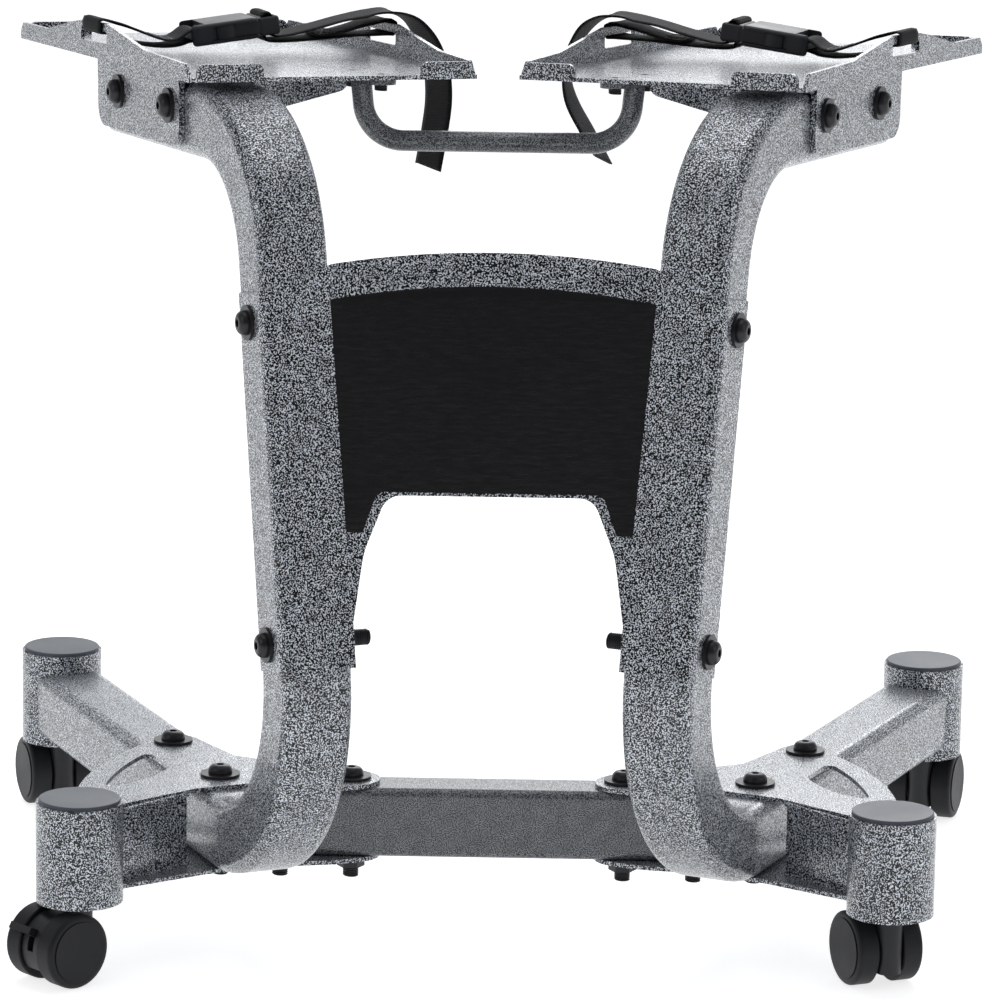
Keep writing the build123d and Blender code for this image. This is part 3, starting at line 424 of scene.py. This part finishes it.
waiting = []
for node in nodes:
    base = "black_steel" if node == "washers" else (slot_of(node) or "").split(".")[0]
    if base in finishes:
        nodes[node].data.materials.clear()
        nodes[node].data.materials.append(finishes[base])
    else:
        waiting.append(node)
print("CAD nodes finished:", len(nodes) - len(waiting), "replaced later:", waiting)

# %% [markdown]
# ## Webbing
# The straps are black polypropylene webbing, forty millimetres wide, woven in a herringbone that shows as rows of
# small chevrons. A cloth simulation would only blur such a stiff flat band, so each strap is a band swept along its
# real route, with its own UV map in metres. The weave reads that map, so the chevrons follow the strap round every
# bend.

# %% Webbing material
weave_pick = 0.002
weave_rib = 0.0052
weave_slope = 0.4
weave_shadow = 0.3


def webbing_material(name, colour):
    """Herringbone weave on the band's own UV map, in metres across and along."""
    material, tree, surface = new_material(name)
    where = add_node(tree, "ShaderNodeUVMap", uv_map="band")
    parts = add_node(tree, "ShaderNodeSeparateXYZ")
    zigzag = add_node(tree, "ShaderNodeMath", operation="PINGPONG")
    zigzag.inputs[1].default_value = weave_rib / 2
    slant = add_node(tree, "ShaderNodeMath", operation="MULTIPLY")
    slant.inputs[1].default_value = weave_slope
    shifted = add_node(tree, "ShaderNodeMath", operation="ADD")
    turns = add_node(tree, "ShaderNodeMath", operation="MULTIPLY")
    turns.inputs[1].default_value = math.tau / weave_pick
    wave = add_node(tree, "ShaderNodeMath", operation="SINE")
    level = add_node(tree, "ShaderNodeMapRange", From_Min=-1.0, From_Max=1.0)
    shadow = tuple(weave_shadow * c for c in colour[:3]) + (1.0,)
    shade = add_node(tree, "ShaderNodeMix", data_type="RGBA", A=shadow, B=colour)
    join(tree, where, "UV", parts, "Vector")
    join(tree, parts, "X", zigzag, 0)
    join(tree, zigzag, 0, slant, 0)
    join(tree, slant, 0, shifted, 0)
    join(tree, parts, "Y", shifted, 1)
    join(tree, shifted, 0, turns, 0)
    join(tree, turns, 0, wave, 0)
    join(tree, wave, 0, level, "Value")
    join(tree, level, "Result", shade, "Factor")
    join(tree, shade, "Result", surface, "Base Color")
    set_inputs(surface, Roughness=0.7, Specular_IOR_Level=0.15, Sheen_Weight=0.03, Sheen_Roughness=0.4)
    bump(tree, surface, level, "Result", 0.6, 0.0003)
    return material


webbing = webbing_material("webbing", (0.007, 0.0072, 0.008, 1.0))
print("weave: a pick every", weave_pick / mm, "mm")

# %% [markdown]
# ## A frame for each tray
# The trays splay and lean, so nothing on them lies along the room's axes. World coordinates would hide what a strap
# does. So each tray gets axes of its own, from the mount that the CAD model keeps on its floor, and each place is given
# in millimetres along, across and above it. The straps run askew between their slots, which gives a second pair.

# %% Places on a tray and along its strap
tray_length = 364 * mm
tray_width = 211 * mm
tray_sheet = 3 * mm
tray_toe = math.radians(23.5)
tray_pitch = math.radians(2.5)
outer_slot = 199 * mm
inner_slot = 172 * mm
strap_skew = math.atan2(outer_slot - inner_slot, tray_width)


def tray_axes(side):
    """Corner and axes of a tray: backwards along it, inwards across it and up from its floor."""
    floor = next(m for m in record["mounts"] if m["name"] == f"{side}_tray_floor")
    hand = 1 if side == "right" else -1
    level = math.cos(tray_pitch)
    back = Vector((hand * math.sin(tray_toe) * level, math.cos(tray_toe) * level, -math.sin(tray_pitch)))
    up = Vector(floor["axis"])
    inward = up.cross(back) if side == "right" else back.cross(up)
    corner = Vector(floor["pos_m"]) - back * tray_length / 2 - inward * tray_width / 2 - up * tray_sheet
    return corner, back, inward, up


def on_tray(side, along, across, height):
    """A point by its millimetres along, across and above a tray."""
    corner, back, inward, up = tray_axes(side)
    return corner + back * (along * mm) + inward * (across * mm) + up * (height * mm)


def strap_axes(side):
    """The directions across and along the strap, which runs askew from slot to slot."""
    _, back, inward, _ = tray_axes(side)
    across = back * math.cos(strap_skew) + inward * math.sin(strap_skew)
    return across, inward * math.cos(strap_skew) - back * math.sin(strap_skew)


def on_strap(side, run, height):
    """A point by its millimetres along the strap's line from the outer rim, and above the tray."""
    return on_tray(side, outer_slot / mm, 0, height) + strap_axes(side)[1] * (run * mm)


print("tray corners:", [tuple(round(c, 4) for c in tray_axes(side)[0]) for side in ("left", "right")])

# %% [markdown]
# ## Bands
# A strap is a flat section carried along a curve. A curve with a bevel could make one, but it twists where the route
# turns back on itself. Here the curve is cut into even stations, each with its own direction across, so that the
# band lies flat on a rim and turns only where it should.

# %% Stations along a route
band_step = 2 * mm
fine_steps = 60


def through(values, spot, closed):
    """A smooth curve through values (numbers or vectors) at a place counted in values."""
    count = len(values)
    first = int(math.floor(spot))
    part = spot - first

    def at(index):
        return values[index % count] if closed else values[min(max(index, 0), count - 1)]

    a, b, c, d = (at(first + k) for k in (-1, 0, 1, 2))
    square = (2 * a - 5 * b + 4 * c - d) * part ** 2
    cube = (3 * b - a - 3 * c + d) * part ** 3
    return 0.5 * (2 * b + (c - a) * part + square + cube)


def route_stations(points, acrosses, closed):
    """Evenly spaced places along a smooth route, each with the band's direction across."""
    spans = len(points) if closed else len(points) - 1
    fine = [through(points, k / fine_steps, closed) for k in range(fine_steps * spans + 1)]
    lengths = [0.0]
    for one, two in zip(fine, fine[1:]):
        lengths.append(lengths[-1] + (two - one).length)
    count = max(8, round(lengths[-1] / band_step))
    stations = []
    mark = 0
    for k in range(count if closed else count + 1):
        want = lengths[-1] * k / count
        while mark < len(lengths) - 2 and lengths[mark + 1] < want:
            mark += 1
        part = (want - lengths[mark]) / max(lengths[mark + 1] - lengths[mark], 1e-9)
        spot = (mark + part) / fine_steps
        stations.append((through(points, spot, closed), through(acrosses, spot, closed).normalized(), want))
    return stations, lengths[-1]


print("a station every", band_step / mm, "mm")

# %% A band along its stations
band_width = 40 * mm
band_thick = 1.8 * mm
band_columns = 8
selvedge = 0.45


def band(name, points, acrosses, closed=False, end_slant=0.0):
    """A flat woven band with selvedges, swept along a route. Returns the object and its length."""
    stations, length = route_stations(points, acrosses, closed)
    mesh = bpy.data.meshes.new(name)
    shape = bmesh.new()
    uv = shape.loops.layers.uv.new("band")
    rows = []
    count = len(stations)
    for index, (place, across, run) in enumerate(stations):
        before = stations[index - 1 if closed else max(index - 1, 0)][0]
        after = stations[(index + 1) % count if closed else min(index + 1, count - 1)][0]
        tangent = (after - before).normalized()
        across = (across - tangent * across.dot(tangent)).normalized()
        normal = tangent.cross(across)
        row = []
        for face in (1, -1):
            for column in range(band_columns + 1):
                u = column / band_columns - 0.5
                edge = selvedge if column in (0, band_columns) else 1.0
                slide = end_slant * u if index == count - 1 and not closed else 0.0
                spot = place + across * (u * band_width) + normal * (face * edge * band_thick / 2) + tangent * slide
                row.append((shape.verts.new(spot), (u + 0.5) * band_width, run))
        rows.append(row)
    wide = band_columns + 1
    ring = list(range(wide)) + list(range(2 * wide - 1, wide - 1, -1))
    for index in range(count if closed else count - 1):
        one, two = rows[index], rows[(index + 1) % count]
        for k in range(len(ring)):
            a, b = ring[k], ring[(k + 1) % len(ring)]
            face = shape.faces.new((one[a][0], one[b][0], two[b][0], two[a][0]))
            ends = (one[a], one[b], two[b], two[a])
            for loop, (vert, u, run) in zip(face.loops, ends):
                wraps = closed and index == count - 1 and (vert is two[a][0] or vert is two[b][0])
                loop[uv].uv = (u, length if wraps else run)
    if not closed:
        for row in (rows[0], rows[-1]):
            for k in range(band_columns):
                corners = (row[k], row[k + 1], row[wide + k + 1], row[wide + k])
                face = shape.faces.new([c[0] for c in corners])
                for loop, (vert, u, run) in zip(face.loops, corners):
                    loop[uv].uv = (u, run)
    bmesh.ops.recalc_face_normals(shape, faces=shape.faces)
    for face in shape.faces:
        face.smooth = True
    shape.to_mesh(mesh)
    shape.free()
    mesh.materials.append(webbing)
    return add_object(name, mesh), length


print("band section:", band_width / mm, "by", band_thick / mm, "mm")

# %% [markdown]
# ## Straps
# On each tray a sewn loop joins the slotted outer rim to the buckle's socket. The inner strap is sewn round the inner
# rim, runs under the buckle's plug, up through its first slot, over its bar and down through the second. Its free
# tail arches over the rim and hangs behind the handle. The slots are not opposite each other, so the straps run
# askew. Each route is a short list of places in millimetres, along the strap's line and above the tray, with a smooth
# curve through them, because a strap under light tension bends evenly between what it touches. The tails leave that
# line, so they are listed along, across and above the tray instead, with the twist of the hanging band in degrees.

# %% Routes of the straps
outer_route = [
    (56, 14.0), (50, 13.4), (42, 15.5), (30, 19.8), (18, 23.8), (9, 26.4), (4.6, 27.5), (1.5, 27.8), (-1.0, 27.0),
    (-1.5, 23.0), (-1.0, 19.2), (1.5, 18.3), (4.6, 18.2), (12, 16.4), (22, 13.0), (32, 10.4), (42, 9.1), (50, 8.9),
    (58, 9.9), (64, 11.9), (66.8, 12.6), (69.5, 12.8), (72.0, 14.2), (72.9, 17.3), (71.6, 20.2), (68.4, 20.9),
    (65, 19.7), (61, 16.6),
]
inner_route = [
    (158, 16.5), (165, 17.1), (172, 18.2), (180, 20.2), (190, 23.1), (200, 26.0), (206, 27.2), (209, 27.6),
    (211.4, 27.8), (213.6, 27.0), (214.2, 23.0), (213.6, 19.3), (211.4, 18.2), (207.5, 17.8), (200, 17.4), (190, 17.0),
    (180, 16.3), (171, 15.5), (160, 14.5), (150, 13.7), (140, 13.0), (132, 12.7), (126, 12.8), (122.6, 13.3),
    (120.6, 14.6), (119.9, 17.2), (118.9, 24.0), (117.9, 30.6), (118.4, 32.4), (120.8, 33.2), (123.2, 33.0),
    (124.3, 31.2), (125.3, 24.2), (126.0, 18.8), (127.2, 16.9), (130, 16.5), (136, 17.1), (143, 18.4), (163, 23.4),
    (180, 28.0),
]
tail_start = [(170, 195, 31.8, 0), (163, 206, 33.4, 0), (157, 216.5, 31.4, 0)]
tails = {
    "left": tail_start + [
        (152, 225, 25.5, -2), (147, 231.5, 16, -3), (142, 236, 4, -4), (138, 238.5, -10, -5), (134, 238, -28, -5),
        (131, 234.5, -48, -5), (129, 229, -75, -5)],
    "right": tail_start + [
        (152, 225, 25.5, 4), (147, 231, 16, 8), (142, 235, 4, 13), (139, 235, -10, 15), (136, 229, -28, 11),
        (133, 216, -48, 10), (131, 203, -67, 13)],
}
tail_slant = {"left": -5 * mm, "right": 4 * mm}
inner_rim_run = 196.0
outer_rim_run = 20.0
print("route places:", len(outer_route), "outer,", len(inner_route), "inner,", len(tails["left"]), "tail")


# %% Straps
def turned(back, up, degrees):
    """The tray's long axis, turned about its upright one."""
    return Matrix.Rotation(math.radians(degrees), 3, up) @ back


def strap_route(side, route):
    """The points of a route, and the band's direction across: along the rim where it is wrapped, else its own."""
    back = tray_axes(side)[1]
    across = strap_axes(side)[0]
    points = [on_strap(side, run, height) for run, height in route]
    return points, [back if run < outer_rim_run or run > inner_rim_run else across for run, height in route]


def hold(piece):
    """Bakes the placement of a piece of the inner strap into its mesh."""
    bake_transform(piece)


sewn = {}
for side in ("left", "right"):
    _, back, _, up = tray_axes(side)
    points, acrosses = strap_route(side, outer_route)
    strap, length = band(f"{side}_outer_webbing", points, acrosses, closed=True)
    sewn[f"{side}_outer"] = route_stations(points, acrosses, True)[0]
    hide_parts(f"{side}_outer_strap")
    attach(strap, "root")
    print(strap.name, "length", round(length, 3))
    points, acrosses = strap_route(side, inner_route)
    hand = 1 if side == "right" else -1
    for along, across, height, twist in tails[side]:
        points.append(on_tray(side, along, across, height))
        acrosses.append(turned(back, up, hand * twist))
    strap, length = band(f"{side}_inner_webbing", points, acrosses, end_slant=tail_slant[side])
    sewn[f"{side}_inner"] = route_stations(points, acrosses, False)[0]
    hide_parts(f"{side}_inner_strap")
    hold(strap)
    print(strap.name, "length", round(length, 3))

# %% [markdown]
# ## Front film
# A plain glossy black film covers the middle of the front panel. It is too thin to model as a plate, but as a mere
# colour on the panel it would lose its edge. So its outline is laid on the panel by casting a ray to the sheet for
# every corner, and given a fraction of a millimetre of thickness. The paint below shows through as faint ripples.

# %% Outline and finish of the film
film_side_top = (109.0, 479.0)
film_crown = 489.0
film_side_foot = (96.0, 325.6)
film_inner_foot = (85.0, 325.6)
film_shoulder = [(78.6, 344.0), (76.6, 349.5), (72.0, 352.6)]
crown_steps = 24


def film_material():
    """Gloss black with faint level ripples."""
    material, tree, surface = new_material("black_film")
    where = add_node(tree, "ShaderNodeTexCoord")
    stretch = add_node(tree, "ShaderNodeMapping", Scale=(90.0, 90.0, 420.0))
    ripple = add_node(tree, "ShaderNodeTexNoise", Scale=1.0, Detail=2.0)
    tone = add_node(tree, "ShaderNodeMapRange", From_Min=0.3, From_Max=0.7, To_Min=0.2, To_Max=0.3)
    join(tree, where, "Object", stretch, "Vector")
    join(tree, stretch, "Vector", ripple, "Vector")
    join(tree, ripple, "Fac", tone, "Value")
    join(tree, tone, "Result", surface, "Roughness")
    set_inputs(surface, Base_Color=(0.007, 0.007, 0.008, 1.0), Specular_IOR_Level=0.35)
    bump(tree, surface, ripple, "Fac", 0.25, 0.0004)
    return material


def film_outline():
    """The film's right half from the crown down, then its left half back up, in millimetres across and high."""
    top_x, top_z = film_side_top
    crown = []
    for k in range(crown_steps + 1):
        x = top_x * k / crown_steps
        crown.append((x, film_crown - (film_crown - top_z) * (x / top_x) ** 2))
    half = crown + [film_side_foot, film_inner_foot] + film_shoulder
    return half + [(-x, z) for x, z in reversed(half[1:])]


print("film outline:", len(film_outline()), "corners")

# %% Film on the panel
film_thick = 0.2 * mm
film_depth = 0.9 * film_thick


def lay_on_panel(x, z):
    """The panel's front face at a place across and high, and its normal."""
    _, place, normal, _ = nodes["front_panel"].ray_cast(Vector((x, -1.0, z)), Vector((0.0, 1.0, 0.0)))
    return place, normal


def make_film():
    """The film as a thin closed sheet on the panel."""
    shape = bmesh.new()
    corners = []
    for x, z in film_outline():
        place, normal = lay_on_panel(x * mm, z * mm)
        corners.append(shape.verts.new(place + normal * film_thick))
    face = shape.faces.new(corners)
    face.normal_update()
    grown = bmesh.ops.extrude_face_region(shape, geom=[face])
    moved = [v for v in grown["geom"] if isinstance(v, bmesh.types.BMVert)]
    bmesh.ops.translate(shape, verts=moved, vec=-normal * film_depth)
    bmesh.ops.recalc_face_normals(shape, faces=shape.faces)
    mesh = bpy.data.meshes.new("front_film")
    shape.to_mesh(mesh)
    shape.free()
    mesh.materials.append(film_material())
    made = add_object("front_film", mesh)
    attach(made, "root")
    return made


film = make_film()
print("film corners:", len(film.data.vertices))

# %% [markdown]
# ## Bolt threads
# Every bolt ends in a few turns of thread past its nut. A bump in the material would leave the outline smooth, so the
# thread is modelled: a helix with a pointed section. One Geometry Nodes tree makes the helix, sets it on the tip of
# every bolt and turns it along that bolt.

# %% Helpers for Geometry Nodes
def plain_mesh(helper, name):
    """The evaluated helper as a plain mesh object, with the helper removed."""
    bpy.context.view_layer.update()
    depsgraph = bpy.context.evaluated_depsgraph_get()
    mesh = bpy.data.meshes.new_from_object(helper.evaluated_get(depsgraph))
    points = helper.data
    bpy.data.objects.remove(helper)
    bpy.data.meshes.remove(points)
    mesh.name = name
    return add_object(name, mesh)


def new_tree(name, inputs):
    """A Geometry Nodes tree with named inputs, ready to be filled."""
    tree = bpy.data.node_groups.new(name, "GeometryNodeTree")
    tree.interface.new_socket(name="Geometry", in_out="INPUT", socket_type="NodeSocketGeometry")
    for label, kind in inputs:
        tree.interface.new_socket(name=label, in_out="INPUT", socket_type=kind)
    tree.interface.new_socket(name="Geometry", in_out="OUTPUT", socket_type="NodeSocketGeometry")
    return tree, tree.nodes.new("NodeGroupInput"), tree.nodes.new("NodeGroupOutput")


def run_tree(tree, helper, **values):
    """Adds the tree as a modifier and sets its inputs by their identifiers."""
    modifier = helper.modifiers.new(tree.name, "NODES")
    modifier.node_group = tree
    for item in tree.interface.items_tree:
        if item.item_type == "SOCKET" and item.in_out == "INPUT" and item.name in values:
            modifier[item.identifier] = values[item.name]


# %% Thread tree
def thread_tree():
    """A helix of pointed section on every point, turned along the point's own axis."""
    tree, given, result = new_tree("bolt_thread", [
        ("Radius", number), ("Depth", number), ("Turns", number), ("Height", number), ("Finish", "NodeSocketMaterial"),
    ])
    helix = add_node(tree, "GeometryNodeCurveSpiral", Resolution=20)
    point = add_node(tree, "GeometryNodeCurvePrimitiveCircle", Resolution=4)
    sweep = add_node(tree, "GeometryNodeCurveToMesh", Fill_Caps=True)
    axis = add_node(tree, "GeometryNodeInputNamedAttribute", data_type="FLOAT_VECTOR", Name="axis")
    turn = add_node(tree, "FunctionNodeAlignRotationToVector", axis="Z")
    copies = add_node(tree, "GeometryNodeInstanceOnPoints")
    solid = add_node(tree, "GeometryNodeRealizeInstances")
    finish = add_node(tree, "GeometryNodeSetMaterial")
    join(tree, given, "Turns", helix, "Rotations")
    join(tree, given, "Radius", helix, "Start Radius")
    join(tree, given, "Radius", helix, "End Radius")
    join(tree, given, "Height", helix, "Height")
    join(tree, given, "Depth", point, "Radius")
    join(tree, helix, "Curve", sweep, "Curve")
    join(tree, point, "Curve", sweep, "Profile Curve")
    join(tree, axis, "Attribute", turn, "Vector")
    join(tree, given, "Geometry", copies, "Points")
    join(tree, sweep, "Mesh", copies, "Instance")
    join(tree, turn, "Rotation", copies, "Rotation")
    join(tree, copies, "Instances", solid, "Geometry")
    join(tree, solid, "Geometry", finish, "Geometry")
    join(tree, given, "Finish", finish, "Material")
    join(tree, finish, "Geometry", result, "Geometry")
    return tree


thread = thread_tree()
print("tree:", thread.name, "with", len(thread.nodes), "nodes")

# %% [markdown]
# ## Where the bolts end
# The tips could be typed in, but then they would part from the bolts when the CAD model changes. They are found in the
# CAD mesh instead: each bolt is one island of it, its long axis is the line along which its points spread most, and
# its tip is the thinner end.

# %% Bolt tips
end_zone = 1.0 * mm
axis_rounds = 30


def islands(node):
    """The separate solids of a CAD node, as lists of points."""
    shape = bmesh.new()
    shape.from_mesh(nodes[node].data)
    bmesh.ops.remove_doubles(shape, verts=shape.verts, dist=1e-6)
    seen = set()
    found = []
    for first in shape.verts:
        if first in seen:
            continue
        seen.add(first)
        stack = [first]
        points = []
        while stack:
            vert = stack.pop()
            points.append(vert.co.copy())
            for edge in vert.link_edges:
                other = edge.other_vert(vert)
                if other not in seen:
                    seen.add(other)
                    stack.append(other)
        found.append(points)
    shape.free()
    return found


def long_axis(points):
    """The direction of a bolt: from the middle to its farthest points, refined by a few steps."""
    middle = sum(points, Vector()) / len(points)
    direction = max((p - middle for p in points), key=lambda d: d.length).normalized()
    for _ in range(axis_rounds):
        direction = sum(((p - middle) * (p - middle).dot(direction) for p in points), Vector()).normalized()
    return middle, direction


def bolt_tip(points):
    """A bolt's tip, the direction from the tip to the head, and the shank's radius."""
    middle, direction = long_axis(points)
    places = [(p - middle).dot(direction) for p in points]
    ends = []
    for end, sign in ((min(places), 1), (max(places), -1)):
        near = [p - middle - direction * t for p, t in zip(points, places) if abs(t - end) < end_zone]
        ends.append((max(d.length for d in near), end, sign))
    radius, end, sign = min(ends)
    return middle + direction * end, direction * sign, radius


thread_turns = {"base_bolts": 5, "panel_bolts": 9, "tray_bolts": 5, "handle_bolts": 3}
bolt_tips = {node: [bolt_tip(points) for points in islands(node)] for node in thread_turns}
print("bolts:", {node: len(tips) for node, tips in bolt_tips.items()})

# %% Threads
thread_pitch = 1.25 * mm
thread_depth = 0.7 * mm


def make_threads(name, tips, turns, tree):
    """One object with the thread of every bolt of a kind."""
    mesh = bpy.data.meshes.new(name)
    mesh.from_pydata([tip for tip, axis, radius in tips], [], [])
    axes = mesh.attributes.new("axis", "FLOAT_VECTOR", "POINT")
    axes.data.foreach_set("vector", [c for tip, axis, radius in tips for c in axis])
    helper = add_object(name, mesh)
    radius = tips[0][2]
    run_tree(tree, helper, Radius=radius, Depth=thread_depth, Turns=float(turns), Height=turns * thread_pitch,
             Finish=finishes["black_steel"])
    made = plain_mesh(helper, name)
    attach(made, "root")
    print(name, "bolts", len(tips), "shank radius", round(radius / mm, 2))


for node, turns in thread_turns.items():
    make_threads(f"{node}_thread", bolt_tips[node], turns, thread)

# %% [markdown]
# ## Stitches
# Where a strap is folded back on itself it is sewn with a box and a cross of pale thread. A stitch is a small pillow
# of yarn, and a weld bead is a row of overlapping drops of metal. Both are the same form, so one Geometry Nodes tree
# sets a stretched ball on every point of a line and turns it along the line. The sewing lines follow the bent bands,
# because a flat pattern would leave the webbing where it curves.

# %% Yarn
def yarn_material():
    """Pale polyester yarn with a fine twist."""
    material, tree, surface = new_material("yarn")
    where = add_node(tree, "ShaderNodeTexCoord")
    twist = add_node(tree, "ShaderNodeTexNoise", Scale=2500.0, Detail=1.0)
    tone = add_node(tree, "ShaderNodeMix", data_type="RGBA", A=(0.16, 0.165, 0.175, 1), B=(0.36, 0.37, 0.39, 1))
    join(tree, where, "Object", twist, "Vector")
    join(tree, twist, "Fac", tone, "Factor")
    join(tree, tone, "Result", surface, "Base Color")
    set_inputs(surface, Roughness=0.6)
    return material


yarn = yarn_material()
print("sewing finish:", yarn.name)


# %% Bead tree
def bead_tree():
    """A stretched ball on every point, along its run and flat to its face."""
    tree, given, result = new_tree("beads", [
        ("Half length", number), ("Half width", number), ("Finish", "NodeSocketMaterial"),
    ])
    ball = add_node(tree, "GeometryNodeMeshUVSphere", Segments=8, Rings=5, Radius=1.0)
    scale = add_node(tree, "ShaderNodeCombineXYZ")
    turns = []
    for name, axis in (("run", "X"), ("out", "Z")):
        read = add_node(tree, "GeometryNodeInputNamedAttribute", data_type="FLOAT_VECTOR", Name=name)
        turn = add_node(tree, "FunctionNodeAlignRotationToVector", axis=axis)
        join(tree, read, "Attribute", turn, "Vector")
        turns.append(turn)
    turns[1].pivot_axis = "X"
    copies = add_node(tree, "GeometryNodeInstanceOnPoints")
    solid = add_node(tree, "GeometryNodeRealizeInstances")
    smooth = add_node(tree, "GeometryNodeSetShadeSmooth")
    finish = add_node(tree, "GeometryNodeSetMaterial")
    join(tree, given, "Half length", scale, "X")
    join(tree, given, "Half width", scale, "Y")
    join(tree, given, "Half width", scale, "Z")
    join(tree, turns[0], "Rotation", turns[1], "Rotation")
    join(tree, turns[1], "Rotation", copies, "Rotation")
    join(tree, scale, "Vector", copies, "Scale")
    join(tree, given, "Geometry", copies, "Points")
    join(tree, ball, "Mesh", copies, "Instance")
    join(tree, copies, "Instances", solid, "Geometry")
    join(tree, solid, "Geometry", smooth, "Geometry")
    join(tree, smooth, "Geometry", finish, "Geometry")
    join(tree, given, "Finish", finish, "Material")
    join(tree, finish, "Geometry", result, "Geometry")
    return tree


def lay_beads(name, spots, tree, half_length, half_width, finish):
    """The beads of one object as a plain mesh."""
    mesh = bpy.data.meshes.new(name)
    mesh.from_pydata([place for place, run, out in spots], [], [])
    for label, column in (("run", 1), ("out", 2)):
        layer = mesh.attributes.new(label, "FLOAT_VECTOR", "POINT")
        layer.data.foreach_set("vector", [c for spot in spots for c in spot[column]])
    helper = add_object(name, mesh)
    run_tree(tree, helper, **{"Half length": half_length, "Half width": half_width, "Finish": finish})
    print(name, "beads", len(spots))
    return plain_mesh(helper, name)


beads = bead_tree()
print("tree:", beads.name, "with", len(beads.nodes), "nodes")

# %% Sewn boxes
stitch_length = 2.4 * mm
stitch_half = 1.05 * mm
stitch_thin = 0.36 * mm
stitch_rise = band_thick / 2 + stitch_thin * 0.3
sewn_half_width = 15 * mm
sewn_from = 2 * mm
sewn_to = 15 * mm


def on_band(stations, run, aside):
    """The upper face of a band at a place along and across it, and its outward direction."""
    index = min(range(len(stations)), key=lambda k: abs(stations[k][2] - run))
    index = min(max(index, 1), len(stations) - 2)
    place, across, there = stations[index]
    tangent = (stations[index + 1][0] - stations[index - 1][0]).normalized()
    across = (across - tangent * across.dot(tangent)).normalized()
    out = tangent.cross(across)
    out = out if out.z > 0 else -out
    return place + tangent * (run - there) + across * aside + out * stitch_rise, out


def sewing_line(stations):
    """Points of a box with a cross on the folded end of a band, with run and outward directions."""
    corners = {"a": (-1, sewn_from), "b": (1, sewn_from), "c": (1, sewn_to), "d": (-1, sewn_to)}
    spots = []
    for start, end in ("ab", "bc", "cd", "da", "ac", "bd"):
        (aside, run), (far_aside, far_run) = corners[start], corners[end]
        count = max(2, round(math.hypot((far_aside - aside) * sewn_half_width, far_run - run) / stitch_length))
        line = []
        for k in range(count):
            part = (k + 0.5) / count
            share = aside + (far_aside - aside) * part
            line.append(on_band(stations, run + (far_run - run) * part, share * sewn_half_width))
        direction = (line[-1][0] - line[0][0]).normalized()
        spots += [(place, direction, out) for place, out in line]
    return spots


for side in ("left", "right"):
    for end in ("outer", "inner"):
        spots = sewing_line(sewn[f"{side}_{end}"])
        made = lay_beads(f"{side}_{end}_stitches", spots, beads, stitch_half, stitch_thin, yarn)
        if end == "outer":
            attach(made, "root")
        else:
            hold(made)

# %% [markdown]
# ## Weld beads
# A web plate joins each front post to the foot of its upright, and it is welded to the plates above and below. A
# plain tube along the joint would look too even. The same tree lays drops that overlap by about half, and the
# frame's paint covers them.

# %% Weld beads along the web plates
weld_step = 2.4 * mm
weld_half_length = 2.2 * mm
weld_half_width = 1.9 * mm
web_start = Vector((257.2, -181.5, 0)) * mm
web_end = Vector((211.3, -132.9, 0)) * mm
web_half = 2.5 * mm
web_low = 61 * mm
web_high = 111 * mm


def weld_spots(hand):
    """Points of the beads below and above one web plate, on its front face."""
    flip = Matrix.Diagonal((hand, 1, 1))
    run = (web_end - web_start).normalized()
    front = Vector((-run.y, run.x, 0))
    spots = []
    count = round((web_end - web_start).length / weld_step)
    for height, lean in ((web_low, 1), (web_high, -1)):
        out = (front + Vector((0, 0, lean))).normalized()
        for k in range(count + 1):
            place = web_start + (web_end - web_start) * k / count + front * web_half + Vector((0, 0, height))
            spots.append((flip @ place, flip @ run, flip @ out))
    return spots


for side, hand in (("left", -1), ("right", 1)):
    made = lay_beads(
        f"{side}_web_weld", weld_spots(hand), beads, weld_half_length, weld_half_width, finishes["silver_vein"])
    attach(made, "root")
